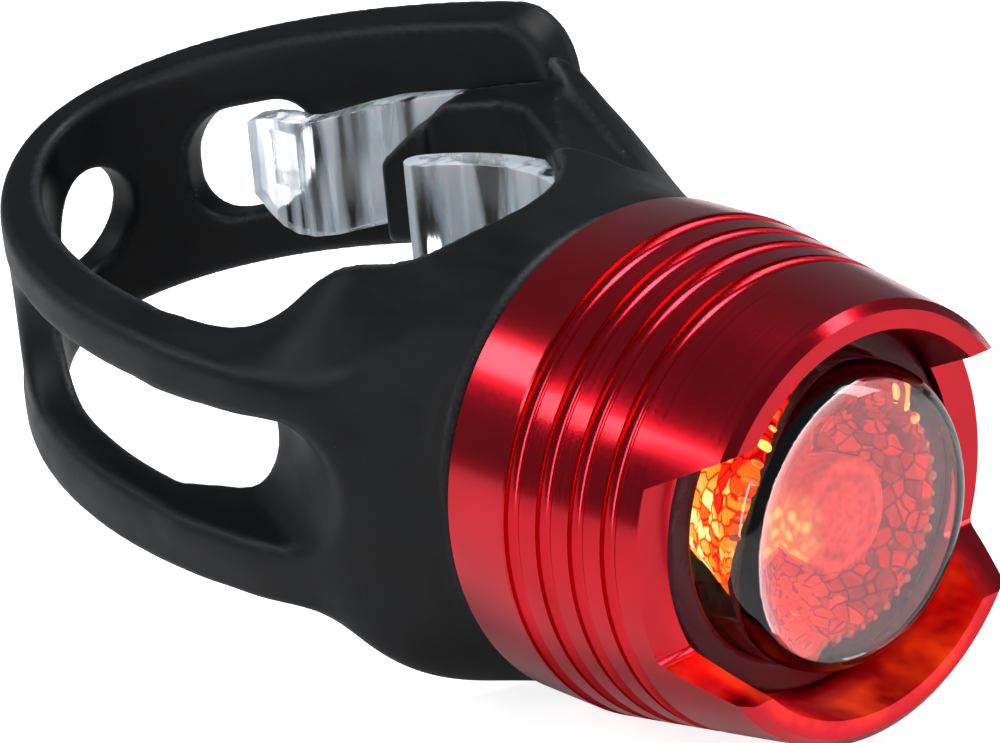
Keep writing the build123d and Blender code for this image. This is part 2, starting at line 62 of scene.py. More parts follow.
SADDLE_RADIUS = 7.7
MERGE_REACH = 0.002
CAD_MERGE_REACH = 0.0005
FAR_AWAY = 1e9
LEAST_STEP = 0.01

# Degrees.
CAD_FLAT_ANGLE = 0.3
CAD_SHARP_ANGLE = 30.0

# Mesh attribute that says how sharply the silicone bends outwards.
EDGE_BEND = "edge_bend"
MOST_BEND = 3.0

# Places of the share and of the two colours among the inputs of Blender's Mix node.
MIX_INPUTS = (0, 6, 7)
MIX_OUTPUT = 2

log = logging.getLogger("rear_light")

Socket = bpy.types.NodeSocket
Pair = tuple[float, float]
Triple = tuple[float, float, float]
Colour = Triple
Stop = tuple[float, Colour]


# ---------------------------------------------------------------- mesh helpers


def lamp_points(side: np.ndarray, front: np.ndarray | float, height: np.ndarray) -> np.ndarray:
    """Stacks places given from the bezel's rear centre into points of the frame.

    Args:
        side: Distance towards +X from the lamp's axis.
        front: Distance in front of the bezel's rear edge.
        height: Distance above the lamp's axis.

    Returns:
        One point in each row, in millimetres.
    """
    side, front, height = np.broadcast_arrays(side, front, height)
    return np.stack([side + AXIS_SIDE, REAR_Y - front, height], axis=-1).reshape(-1, 3)


def object_of(name: str, data: bpy.types.ID) -> bpy.types.Object:
    """Makes an object of a mesh, lamp or camera.

    Args:
        name: Name of the object.
        data: What the object shows.

    Returns:
        The new object, linked to the scene.
    """
    piece = bpy.data.objects.new(name, data)
    bpy.context.scene.collection.objects.link(piece)
    return piece


def make_object(name: str, points: Sequence, faces: list, smooth: bool = True) -> bpy.types.Object:
    """Makes a mesh object at the origin from points in millimetres.

    Args:
        name: Piece name.
        points: One point in each row.
        faces: Corner indices of each face.
        smooth: Whether the faces are shaded smooth.

    Returns:
        The new object, linked to the scene.
    """
    mesh = bpy.data.meshes.new(name)
    mesh.from_pydata((np.asarray(points, float) * MM).tolist(), [], faces)
    mesh.validate()
    mesh.polygons.foreach_set("use_smooth", [smooth] * len(mesh.polygons))
    mesh.update()
    return object_of(name, mesh)


def lathe(profile: list[Pair], steps: int) -> tuple[np.ndarray, list]:
    """Turns a closed profile round the lamp's axis.

    Args:
        profile: Pairs of radius and distance to the front, in order round the section.
        steps: Number of sides of the turned shape.

    Returns:
        Points in millimetres, and faces.
    """
    angles = np.linspace(0, math.tau, steps, endpoint=False)
    radius, front = np.array(profile, float).T
    side = np.outer(np.cos(angles), radius)
    height = np.outer(np.sin(angles), radius)
    points = lamp_points(side, front[None, :], height)
    count = len(profile)
    faces = []
    for turn, place in itertools.product(range(steps), range(count)):
        here, after = turn * count, (turn + 1) % steps * count
        ahead = (place + 1) % count
        faces.append((here + place, here + ahead, after + ahead, after + place))
    return points, faces


def tidy_shell(piece: bpy.types.Object) -> None:
    """Merges a mesh's doubled points and turns its faces outwards.

    Args:
        piece: Object whose mesh is changed.
    """
    shell = bmesh.new()
    shell.from_mesh(piece.data)
    bmesh.ops.remove_doubles(shell, verts=shell.verts, dist=MERGE_REACH * MM)
    bmesh.ops.dissolve_degenerate(shell, edges=shell.edges, dist=MERGE_REACH * MM / 2)
    bmesh.ops.recalc_face_normals(shell, faces=shell.faces)
    shell.to_mesh(piece.data)
    shell.free()


def shade_smooth(piece: bpy.types.Object, sharp_angle: float) -> None:
    """Shades a piece smooth, apart from its sharp edges.

    Args:
        piece: Object to shade.
        sharp_angle: Angle between faces, in degrees, from which an edge is sharp.
    """
    piece.data.polygons.foreach_set("use_smooth", [True] * len(piece.data.polygons))
    piece.data.set_sharp_from_angle(angle=math.radians(sharp_angle))


def round_edges(piece: bpy.types.Object, width: float, segments: int, angle: float) -> None:
    """Rounds a piece's hard edges with a bevel modifier.

    Args:
        piece: Object to finish.
        width: Width of the rounding in millimetres.
        segments: Number of faces across it.
        angle: Smallest angle between faces, in degrees, that counts as an edge.
    """
    bevel = piece.modifiers.new("edge_rounding", "BEVEL")
    bevel.width = width * MM
    bevel.segments = segments
    bevel.limit_method = "ANGLE"
    bevel.angle_limit = math.radians(angle)


def copy_of_node(node: str, name: str) -> bpy.types.Object:
    """Copies a CAD node's mesh as one clean shell whose flat faces are whole.

    Args:
        node: Name of the CAD node.
        name: Name of the new piece.

    Returns:
        The new object.
    """
    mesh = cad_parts[node].data.copy()
    mesh.name = name
    mesh.materials.clear()
    shell = bmesh.new()
    shell.from_mesh(mesh)
    bmesh.ops.remove_doubles(shell, verts=shell.verts, dist=CAD_MERGE_REACH * MM)
    bmesh.ops.dissolve_limit(
        shell, angle_limit=math.radians(CAD_FLAT_ANGLE), verts=shell.verts, edges=shell.edges
    )
    shell.to_mesh(mesh)
    shell.free()
    piece = object_of(name, mesh)
    shade_smooth(piece, CAD_SHARP_ANGLE)
    return piece


def plain_mesh(piece: bpy.types.Object) -> None:
    """Bakes a piece's modifiers into its mesh and removes them.

    Args:
        piece: Object with live modifiers.
    """
    graph = bpy.context.evaluated_depsgraph_get()
    made = bpy.data.meshes.new_from_object(piece.evaluated_get(graph), depsgraph=graph)
    piece.modifiers.clear()
    piece.data = made


# ---------------------------------------------------------------- material helpers


class ShaderBench:
    """Builds one material's node tree."""

    def __init__(self, name: str) -> None:
        """Starts an empty material.

        Args:
            name: Name of the material.
        """
        self.material = bpy.data.materials.new(name)
        self.material.use_nodes = True
        self.tree = self.material.node_tree
        self.tree.nodes.clear()
        self.output = self.add("ShaderNodeOutputMaterial")

    def add(self, kind: str, **settings: object) -> bpy.types.Node:
        """Adds a node and sets its own properties.

        Args:
            kind: Blender's type name of the node.
            **settings: Properties of the node.

        Returns:
            The new node.
        """
        node = self.tree.nodes.new(kind)
        for key, value in settings.items():
            setattr(node, key, value)
        return node

    def feed(self, target: Socket, value: object) -> None:
        """Links a socket into another, or sets a constant on it.

        Args:
            target: Input socket.
            value: Output socket, number, colour or vector.
        """
        if isinstance(value, bpy.types.NodeSocket):
            self.tree.links.new(value, target)
        elif target.type == "RGBA" and len(value) == 3:
            target.default_value = (*value, 1.0)
        else:
            target.default_value = value

    def place(self, scale: Triple = (1.0, 1.0, 1.0)) -> Socket:
        """Object coordinates in millimetres, measured from the lamp's rear centre.

        Args:
            scale: Stretch of the pattern along each axis.

        Returns:
            Vector socket.
        """
        coordinates = self.add("ShaderNodeTexCoord")
        mapping = self.add("ShaderNodeMapping")
        self.feed(mapping.inputs["Vector"], coordinates.outputs["Object"])
        mapping.inputs["Scale"].default_value = [s / MM for s in scale]
        mapping.inputs["Location"].default_value = (-AXIS_SIDE * scale[0], -REAR_Y * scale[1], 0)
        return mapping.outputs["Vector"]

    def split(self, vector: Socket) -> tuple[Socket, Socket, Socket]:
        """Splits a vector.

        Args:
            vector: Vector socket.

        Returns:
            Its three parts.
        """
        node = self.add("ShaderNodeSeparateXYZ")
        self.feed(node.inputs[0], vector)
        return tuple(node.outputs)

    def join(self, x: object, y: object, z: object) -> Socket:
        """Joins three numbers into a vector.

        Args:
            x: First part, a socket or number.
            y: Second part.
            z: Third part.

        Returns:
            Vector socket.
        """
        node = self.add("ShaderNodeCombineXYZ")
        for target, value in zip(node.inputs, (x, y, z)):
            self.feed(target, value)
        return node.outputs[0]

    def calc(self, operation: str, first: object, *others: object) -> Socket:
        """Works out arithmetic, from left to right where there are more than two values.

        Args:
            operation: Blender's name of the operation.
            first: First value, a socket or number.
            *others: The values after it, none where the operation takes only one.

        Returns:
            Number socket.
        """
        result = first
        for other in others or (0.0,):
            node = self.add("ShaderNodeMath", operation=operation)
            self.feed(node.inputs[0], result)
            self.feed(node.inputs[1], other)
            result = node.outputs[0]
        return result

    def radius(self, across: Socket, up: Socket) -> Socket:
        """Distance from the middle.

        Args:
            across: Distance across, a number socket.
            up: Distance upwards.

        Returns:
            Number socket.
        """
        squares = (self.calc("MULTIPLY", part, part) for part in (across, up))
        return self.calc("SQRT", self.calc("ADD", *squares))

    def mix(self, share: Socket, first: object, second: object) -> Socket:
        """Mixes two colours.

        Args:
            share: How much of the second colour shows, 0 to 1.
            first: First colour, a socket or constant.
            second: Second colour.

        Returns:
            Colour socket.
        """
        node = self.add("ShaderNodeMix", data_type="RGBA")
        for key, value in zip(MIX_INPUTS, (share, first, second)):
            self.feed(node.inputs[key], value)
        return node.outputs[MIX_OUTPUT]

    def noise(self, vector: Socket, scale: float, detail: float = 3.0, rough: float = 0.55) -> Socket:
        """Smooth noise, about 0 to 1.

        Args:
            vector: Where it is read.
            scale: Number of features in one unit of the vector.
            detail: Octaves.
            rough: Strength of the finer octaves.

        Returns:
            Number socket.
        """
        node = self.add("ShaderNodeTexNoise")
        self.feed(node.inputs["Vector"], vector)
        node.inputs["Scale"].default_value = scale
        node.inputs["Detail"].default_value = detail
        node.inputs["Roughness"].default_value = rough
        return node.outputs["Fac"]

    def cells(self, vector: Socket, scale: float, feature: str = "F1", output: str = "Distance") -> Socket:
        """Voronoi cells.

        Args:
            vector: Where it is read.
            scale: Number of cells in one unit of the vector.
            feature: Blender's name of the feature.
            output: Name of the output that is read.

        Returns:
            Socket of the chosen output.
        """
        node = self.add("ShaderNodeTexVoronoi", feature=feature)
        self.feed(node.inputs["Vector"], vector)
        node.inputs["Scale"].default_value = scale
        return node.outputs[output]

    def ramp(self, factor: Socket, stops: Sequence[Stop]) -> Socket:
        """Colours a number by stops.

        Args:
            factor: Number socket.
            stops: Pairs of place and colour.

        Returns:
            Colour socket.
        """
        node = self.add("ShaderNodeValToRGB")
        self.feed(node.inputs["Fac"], factor)
        elements = node.color_ramp.elements
        while len(elements) < len(stops):
            elements.new(0.5)
        for element, (place, colour) in zip(elements, stops):
            element.position = place
            element.color = (*colour, 1.0)
        return node.outputs["Color"]

    def span(self, value: Socket, low: float, high: float, to_low: float, to_high: float) -> Socket:
        """Maps one range of a number onto another.

        Args:
            value: Number socket.
            low: Start of the first range.
            high: End of the first range.
            to_low: Start of the second range.
            to_high: End of the second range.

        Returns:
            Number socket, kept within the second range.
        """
        node = self.add("ShaderNodeMapRange")
        self.feed(node.inputs["Value"], value)
        for key, number in zip(("From Min", "From Max", "To Min", "To Max"), (low, high, to_low, to_high)):
            node.inputs[key].default_value = number
        return node.outputs["Result"]

    def bump(self, height: Socket, distance: float) -> Socket:
        """Turns a height into a normal.

        Args:
            height: Number socket, 0 to 1.
            distance: Depth of the relief in millimetres.

        Returns:
            Normal socket.
        """
        node = self.add("ShaderNodeBump")
        node.inputs["Distance"].default_value = distance * MM
        node.inputs["Strength"].default_value = 1.0
        self.feed(node.inputs["Height"], height)
        return node.outputs["Normal"]

    def principled(self, **values: object) -> bpy.types.Node:
        """Adds the main shader and sets its inputs.

        Args:
            **values: Input names with underscores for spaces, and their sockets or constants.

        Returns:
            The shader node.
        """
        node = self.add("ShaderNodeBsdfPrincipled")
        for key, value in values.items():
            self.feed(node.inputs[key.replace("_", " ")], value)
        return node

    def finish(self, shader: Socket) -> bpy.types.Material:
        """Links the shader to the output.

        Args:
            shader: Shader socket.

        Returns:
            The finished material.
        """
        self.feed(self.output.inputs["Surface"], shader)
        return self.material


@dataclass(frozen=True)
class Finish:
    """A finish that makes its material once and hands it out by name."""

    name: str

    def build(self) -> bpy.types.Material:
        """Builds the material's nodes."""
        raise NotImplementedError

    def material(self) -> bpy.types.Material:
        """The finish's material, built the first time that it is asked for."""
        return bpy.data.materials.get(self.name) or self.build()

    def dress(self, piece: bpy.types.Object) -> None:
        """Puts the finish on every face of a piece.

        Args:
            piece: Object to dress.
        """
        piece.data.materials.clear()
        piece.data.materials.append(self.material())


@dataclass(frozen=True)
class AnodisedMetal(Finish):
    """Turned aluminium under a dyed clear oxide layer, with a painted glow of the lens's light inside its
    lip.
    """

    deep: Colour = (0.50, 0.001, 0.010)
    bright: Colour = (0.64, 0.003, 0.018)
    roughness: float = 0.19
    mark_depth: float = 0.004
    # Painted light: red emission inside the lip stands in for the lens's light falling on it.
    painted_spill: Colour = (1.0, 0.055, 0.006)
    painted_spill_edge: Colour = (0.7, 0.0, 0.004)
    painted_spill_strength: float = 0.75
    lip_radius: Pair = (10.8, 11.5)
    lip_depth: Pair = (-13.2, -15.5)
    lip_height: Pair = (3.0, -6.5)

    def build(self) -> bpy.types.Material:
        """Builds turned marks, a slight drift of the dye, and painted patches of the lens's light inside
        the lip.

        Returns:
            The material.
        """
        bench = ShaderBench(self.name)
        where = bench.place()
        x, y, z = bench.split(where)
        reach = bench.radius(x, z)
        turned = bench.noise(bench.join(reach, y, 0.0), 9.0, detail=4.0, rough=0.7)
        fine = bench.noise(bench.join(reach, y, bench.calc("MULTIPLY", x, 0.02)), 28.0, detail=2.0)
        relief = bench.calc(
            "ADD", bench.calc("MULTIPLY", turned, 0.6), bench.calc("MULTIPLY", fine, 0.4)
        )
        dye = bench.noise(where, 0.16, detail=2.0)
        patches = bench.noise(bench.place((1.0, 0.5, 1.0)), 0.28, detail=3.0)
        # Painted light: where the lens's light is painted on, strongest low inside the lip and broken into
        # patches.
        lit = bench.calc(
            "MULTIPLY",
            bench.span(reach, *self.lip_radius, 1.0, 0.0),
            bench.span(y, *self.lip_depth, 0.0, 1.0),
            bench.span(z, *self.lip_height, 0.05, 1.0),
            bench.span(patches, 0.38, 0.62, 0.35, 1.0),
        )
        shader = bench.principled(
            Base_Color=bench.ramp(dye, [(0.3, self.deep), (0.7, self.bright)]),
            Metallic=1.0,
            Roughness=bench.span(turned, 0.3, 0.7, self.roughness - 0.05, self.roughness + 0.07),
            Normal=bench.bump(relief, self.mark_depth),
            # Emission paints the lens's light onto the lip.
            Emission_Color=bench.ramp(lit, [(0.3, self.painted_spill_edge), (1.0, self.painted_spill)]),
            Emission_Strength=bench.calc("MULTIPLY", lit, self.painted_spill_strength),
            Coat_Weight=0.3,
            Coat_Roughness=0.12,
            Coat_IOR=1.6,
        )
        return bench.finish(shader.outputs[0])


@dataclass(frozen=True)
class MouldedRubber(Finish):
    """Moulded rubber with a fine sandy skin, faint smears and a little dust."""

    dark: Colour = (0.0016, 0.0018, 0.0024)
    pale: Colour = (0.0045, 0.0052, 0.0064)
    # Pale edge colour: partly wear, partly a painted highlight on the outward edges.
    worn: Colour = (0.05, 0.053, 0.057)
    dust_colour: Colour = (0.09, 0.09, 0.095)
    roughness: float = 0.46
    shine: float = 0.17
    grain: float = 0.01
    dust: float = 0.35

    def build(self) -> bpy.types.Material:
        """Builds grain, broad smears, specks of dust, and pale edges that are partly wear and partly a
        painted highlight.

        Returns:
            The material.
        """
        bench = ShaderBench(self.name)
        where = bench.place()
        smears = bench.noise(bench.place((1.0, 0.35, 1.0)), 0.35, detail=4.0, rough=0.6)
        sand = bench.noise(where, 7.0, detail=3.0, rough=0.6)
        specks = bench.span(bench.cells(where, 1.3), 0.03, 0.07, self.dust, 0.0)
        patches = bench.span(bench.noise(where, 0.5, detail=3.0), 0.52, 0.68, 0.0, 1.0)
        base = bench.ramp(smears, [(0.3, self.dark), (0.75, self.pale)])
        dusty = bench.mix(bench.calc("MULTIPLY", specks, patches), base, self.dust_colour)
        # Pale outward edges, partly wear and partly a painted highlight, where the skin bends most.
        bend = bench.add("ShaderNodeAttribute", attribute_name=EDGE_BEND).outputs["Fac"]
        worn_and_highlit = bench.calc(
            "MULTIPLY", bench.span(bend, 0.35, 1.3, 0.0, 0.8), bench.span(sand, 0.3, 0.6, 0.3, 1.0)
        )
        shader = bench.principled(
            Base_Color=bench.mix(worn_and_highlit, dusty, self.worn),
            Roughness=bench.span(smears, 0.3, 0.75, self.roughness - 0.07, self.roughness + 0.08),
            Normal=bench.bump(sand, self.grain),
            Specular_IOR_Level=self.shine,
        )
        return bench.finish(shader.outputs[0])


@dataclass(frozen=True)
class ClearPlastic(Finish):
    """Clear moulded plastic with faint flow lines and a few scuffs."""

    tint: Colour = (0.96, 0.98, 1.0)
    roughness: float = 0.03
    index: float = 1.56
    flow_depth: float = 0.02
    haze: float = 0.0
    mirror: float = 0.5
    haze_colour: Colour = (0.72, 0.80, 0.88)

    def build(self) -> bpy.types.Material:
        """Builds soft vertical flow lines, small scuffs and streaks of haze.

        Returns:
            The material.
        """
        bench = ShaderBench(self.name)
        flow = bench.noise(bench.place((1.0, 1.0, 0.12)), 0.9, detail=3.0)
        scuffs = bench.noise(bench.place((3.0, 3.0, 0.5)), 2.0, detail=4.0, rough=0.7)
        rough = bench.span(scuffs, 0.55, 0.75, self.roughness, self.roughness + 0.12)
        shader = bench.principled(
            Base_Color=self.tint,
            Roughness=rough,
            IOR=self.index,
            Specular_IOR_Level=self.mirror,
            Transmission_Weight=1.0,
            Normal=bench.bump(flow, self.flow_depth),
        )
        milky = bench.principled(
            Base_Color=self.haze_colour,
            Roughness=0.25,
            Subsurface_Weight=0.3,
            Subsurface_Scale=1.5 * MM,
            Normal=bench.bump(flow, self.flow_depth),
        )
        blend = bench.add("ShaderNodeMixShader")
        streaks = bench.noise(bench.place((1.0, 1.0, 0.1)), 0.5, detail=2.0)
        bench.feed(blend.inputs[0], bench.span(streaks, 0.44, 0.56, 0.0, self.haze))
        bench.feed(blend.inputs[1], shader.outputs[0])
        bench.feed(blend.inputs[2], milky.outputs[0])
        return bench.finish(blend.outputs[0])


@dataclass(frozen=True)
class PlatedMetal(Finish):
    """Bright plated sheet or can with light brushing."""

    colour: Colour = (0.74, 0.73, 0.70)
    roughness: float = 0.26
    brush: Triple = (0.3, 6.0, 6.0)

    def build(self) -> bpy.types.Material:
        """Builds brushing along one axis, and a slight tarnish.

        Returns:
            The material.
        """
        bench = ShaderBench(self.name)
        marks = bench.noise(bench.place(self.brush), 2.0, detail=3.0)
        tarnish = bench.noise(bench.place(), 0.45, detail=3.0)
        worn = tuple(c * 0.82 for c in self.colour)
        colour = bench.ramp(tarnish, [(0.35, worn), (0.6, self.colour)])
        shader = bench.principled(
            Base_Color=colour,
            Metallic=1.0,
            Roughness=bench.span(marks, 0.3, 0.7, self.roughness - 0.06, self.roughness + 0.1),
            Normal=bench.bump(marks, 0.004),
        )
        return bench.finish(shader.outputs[0])


@dataclass(frozen=True)
class MouldedPlastic(Finish):
    """Opaque moulded plastic, resin or ceramic with a fine grain."""

    colour: Colour = (0.03, 0.03, 0.032)
    variation: float = 0.25
    roughness: float = 0.42
    grain: float = 0.006
    grain_scale: float = 9.0

    def build(self) -> bpy.types.Material:
        """Builds a fine grain and a slight drift of the colour.

        Returns:
            The material.
        """
        bench = ShaderBench(self.name)
        where = bench.place()
        drift = bench.noise(where, 0.6, detail=3.0)
        grain = bench.noise(where, self.grain_scale, detail=2.0)
        low = tuple(c * (1 - self.variation) for c in self.colour)
        shader = bench.principled(
            Base_Color=bench.ramp(drift, [(0.3, low), (0.7, self.colour)]),
            Roughness=bench.span(drift, 0.3, 0.7, self.roughness + 0.06, self.roughness - 0.04),
            Normal=bench.bump(grain, self.grain),
        )
        return bench.finish(shader.outputs[0])


@dataclass(frozen=True)
class BoardLaminate(Finish):
    """Green solder mask over copper tracks."""

    mask: Colour = (0.008, 0.075, 0.03)
    track: Colour = (0.02, 0.13, 0.05)

    def build(self) -> bpy.types.Material:
        """Builds tracks as raised bands under the mask.

        Returns:
            The material.
        """
        bench = ShaderBench(self.name)
        where = bench.place()
        cells = bench.cells(where, 0.42, feature="DISTANCE_TO_EDGE")
        tracks = bench.span(cells, 0.05, 0.09, 1.0, 0.0)
        weave = bench.noise(where, 6.0, detail=2.0)
        shader = bench.principled(
            Base_Color=bench.ramp(tracks, [(0.0, self.mask), (1.0, self.track)]),
            Roughness=bench.span(weave, 0.3, 0.7, 0.28, 0.4),
            Normal=bench.bump(tracks, 0.02),
        )
        return bench.finish(shader.outputs[0])


@dataclass(frozen=True)
class GlowingFacets(Finish):
    """Metallised reflector facets with a painted reflection of the lit emitter, in red and amber."""

    strength: float = 1.6
    hot_side: float = -4.4
    squash: float = 0.7
    glow_reach: Pair = (0.6, 7.5)
    facet_scale: float = 1.1
    stops: tuple[Stop, ...] = (
        (0.0, (0.07, 0.0, 0.003)),
        (0.3, (0.40, 0.0, 0.004)),
        (0.62, (1.0, 0.020, 0.006)),
        (0.86, (1.0, 0.30, 0.02)),
        (1.0, (1.0, 0.80, 0.28)),
    )

    def build(self) -> bpy.types.Material:
        """Builds a painted glow that is amber at one hot place beside the emitter and falls to deep red.

        Returns:
            The material.
        """
        bench = ShaderBench(self.name)
        where = bench.place()
        x, _, z = bench.split(where)
        reach = bench.radius(
            bench.calc("ADD", x, -self.hot_side), bench.calc("MULTIPLY", z, self.squash)
        )
        sparkle = bench.split(bench.cells(where, self.facet_scale, output="Color"))[0]
        seams = bench.cells(where, self.facet_scale, feature="DISTANCE_TO_EDGE")
        # Painted reflection of the emitter's light: brightest at the hot place, darker along the facets'
        # seams, with a painted sparkle per facet.
        glow = bench.calc(
            "ADD",
            bench.span(reach, *self.glow_reach, 0.80, 0.0),
            bench.span(seams, 0.02, 0.10, -0.3, 0.0),
            bench.calc("MULTIPLY", sparkle, 0.36),
        )
        shader = bench.principled(
            Base_Color=(0.20, 0.006, 0.008),
            Metallic=1.0,
            Roughness=0.2,
            Emission_Color=bench.ramp(glow, self.stops),
            Emission_Strength=self.strength,
        )
        return bench.finish(shader.outputs[0])


@dataclass(frozen=True)
class GlowingLens(Finish):
    """Small emitter lens, filled with red light, with an amber patch beside its middle."""

    core: Colour = (0.66, 0.006, 0.010)
    rim: Colour = (0.22, 0.0, 0.006)
    peak: Colour = (1.0, 0.05, 0.04)
    hot: Colour = (1.0, 0.55, 0.10)
    strength: float = 1.0
    hot_side: Pair = (-1.5, -2.7)
    hot_height: Pair = (2.4, 1.0)
    ring_turns: float = 5.2

    def build(self) -> bpy.types.Material:
        """Builds pebbles, faint rings, a fall towards the rim, and the broken amber patch.

        Returns:
            The material.
        """
        bench = ShaderBench(self.name)
        where = bench.place()
        x, _, z = bench.split(where)
        reach = bench.radius(x, z)
        pebbles = bench.cells(where, 2.2)
        rings = bench.calc("SINE", bench.calc("MULTIPLY", reach, self.ring_turns))
        glow = bench.calc(
            "ADD",
            bench.span(reach, 0.6, 3.3, 0.62, 0.4),
            bench.calc("MULTIPLY", pebbles, 0.4),
            bench.calc("MULTIPLY", rings, bench.span(reach, 1.4, 2.4, 0.0, 0.16)),
        )
        red = bench.ramp(glow, [(0.3, self.rim), (0.75, self.core), (1.0, self.peak)])
        patch = bench.calc(
            "MULTIPLY",
            bench.span(x, *self.hot_side, 0.0, 1.0),
            bench.span(bench.calc("ABSOLUTE", z), *self.hot_height, 0.0, 1.0),
            bench.span(bench.cells(where, 1.4), 0.2, 0.6, 1.0, 0.25),
        )
        shader = bench.principled(
            Base_Color=(0.25, 0.004, 0.006),
            Roughness=0.3,
            Normal=bench.bump(pebbles, 0.05),
            Emission_Color=bench.mix(patch, red, self.hot),
            Emission_Strength=self.strength,
            Specular_IOR_Level=0.05,
        )
        return bench.finish(shader.outputs[0])


@dataclass(frozen=True)
class Glints(Finish):
    """Painted glints of the emitter's light on small beads, brightest at the top of their ring."""

    colour: Colour = (1.0, 0.55, 0.12)
    dim: Colour = (1.0, 0.08, 0.02)
    strength: float = 2.6
    ring_height: Pair = (1.5, 5.6)

    def build(self) -> bpy.types.Material:
        """Builds a painted glow that fades down the ring and flickers from bead to bead.

        Returns:
            The material.
        """
        bench = ShaderBench(self.name)
        where = bench.place()
        flicker = bench.noise(where, 0.9, detail=2.0)
        # Painted glints: the glow fades downwards and flickers from bead to bead.
        lit = bench.calc(
            "MULTIPLY",
            bench.span(bench.split(where)[2], *self.ring_height, 0.04, 1.0),
            bench.span(flicker, 0.35, 0.6, 0.2, 1.0),
            self.strength,
        )
        shader = bench.principled(
            Base_Color=(0.5, 0.02, 0.02),
            Roughness=0.2,
            Emission_Color=bench.ramp(flicker, [(0.3, self.dim), (0.6, self.colour)]),
            Emission_Strength=lit,
        )
        return bench.finish(shader.outputs[0])


RED_ANODISED = AnodisedMetal("red_anodised")
BLACK_SILICONE = MouldedRubber("black_silicone_skin")
SEAL_RUBBER = MouldedRubber(
    "seal_rubber_skin", dark=(0.06, 0.003, 0.008), pale=(0.11, 0.006, 0.014), roughness=0.3, dust=0.1
)
CLEAR_PLASTIC = ClearPlastic("clear_moulded", roughness=0.12, index=1.45, flow_depth=0.05, haze=0.6)
CLEAR_LENS = ClearPlastic(
    "clear_polished", tint=(1.0, 0.97, 0.97), roughness=0.0, index=1.49, flow_depth=0.002, mirror=0.22
)
SPRING_STEEL = PlatedMetal("spring_steel_plate")
CELL_STEEL = PlatedMetal("cell_can_plate", colour=(0.78, 0.78, 0.77), brush=(4.0, 0.3, 4.0))
INNER_PLASTIC = MouldedPlastic("inner_moulding", colour=(0.05, 0.05, 0.055))
BLACK_RESIN = MouldedPlastic("black_resin_case", colour=(0.018, 0.018, 0.018), roughness=0.5)
TAN_CERAMIC = MouldedPlastic("tan_ceramic", colour=(0.42, 0.30, 0.17), roughness=0.55, grain_scale=14.0)
WHITE_CERAMIC = MouldedPlastic("emitter_case", colour=(0.85, 0.82, 0.74), roughness=0.35)
BOARD = BoardLaminate("board_mask")
FACETS = GlowingFacets("reflector_facets")
EMITTER_LENS = GlowingLens("emitter_lens")
GLINTS = Glints("reflector_glints")

NODE_FINISHES: dict[str, Finish] = {
    "bezel_barrel": RED_ANODISED,
    "lens_seal": SEAL_RUBBER,
    "bezel_o_ring": SEAL_RUBBER,
    "lens": CLEAR_LENS,
    "clear_core": CLEAR_PLASTIC,
    "reflector": FACETS,
    "led_lens": EMITTER_LENS,
    "led_base": WHITE_CERAMIC,
    "circuit_board": BOARD,
    "driver_chip": BLACK_RESIN,
    "board_resistors": BLACK_RESIN,
    "board_capacitor": TAN_CERAMIC,
    "switch_body": SPRING_STEEL,
    "switch_plunger": BLACK_RESIN,
    "positive_contact": SPRING_STEEL,
    "negative_contact": SPRING_STEEL,
    "coin_cell_rear": CELL_STEEL,
    "coin_cell_front": CELL_STEEL,
    "battery_tray": INNER_PLASTIC,
    "retaining_ring": INNER_PLASTIC,
    "spacer_ring": INNER_PLASTIC,
    "silicone_holder": BLACK_SILICONE,
    "strap_band": BLACK_SILICONE,
}


def dress_nodes() -> None:
    """Puts each CAD node's finish on all its faces and reports it."""
    for node, finish in NODE_FINISHES.items():
        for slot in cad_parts[node].material_slots:
            slot.material = finish.material()
        log.info("dressed %s", node)


# ---------------------------------------------------------------- repeated relief


class Relief(Enum):
    """What a node tree makes out of the mesh that it is given."""

    CUT_FACETS = "cut_facets"
    BEADS = "beads"


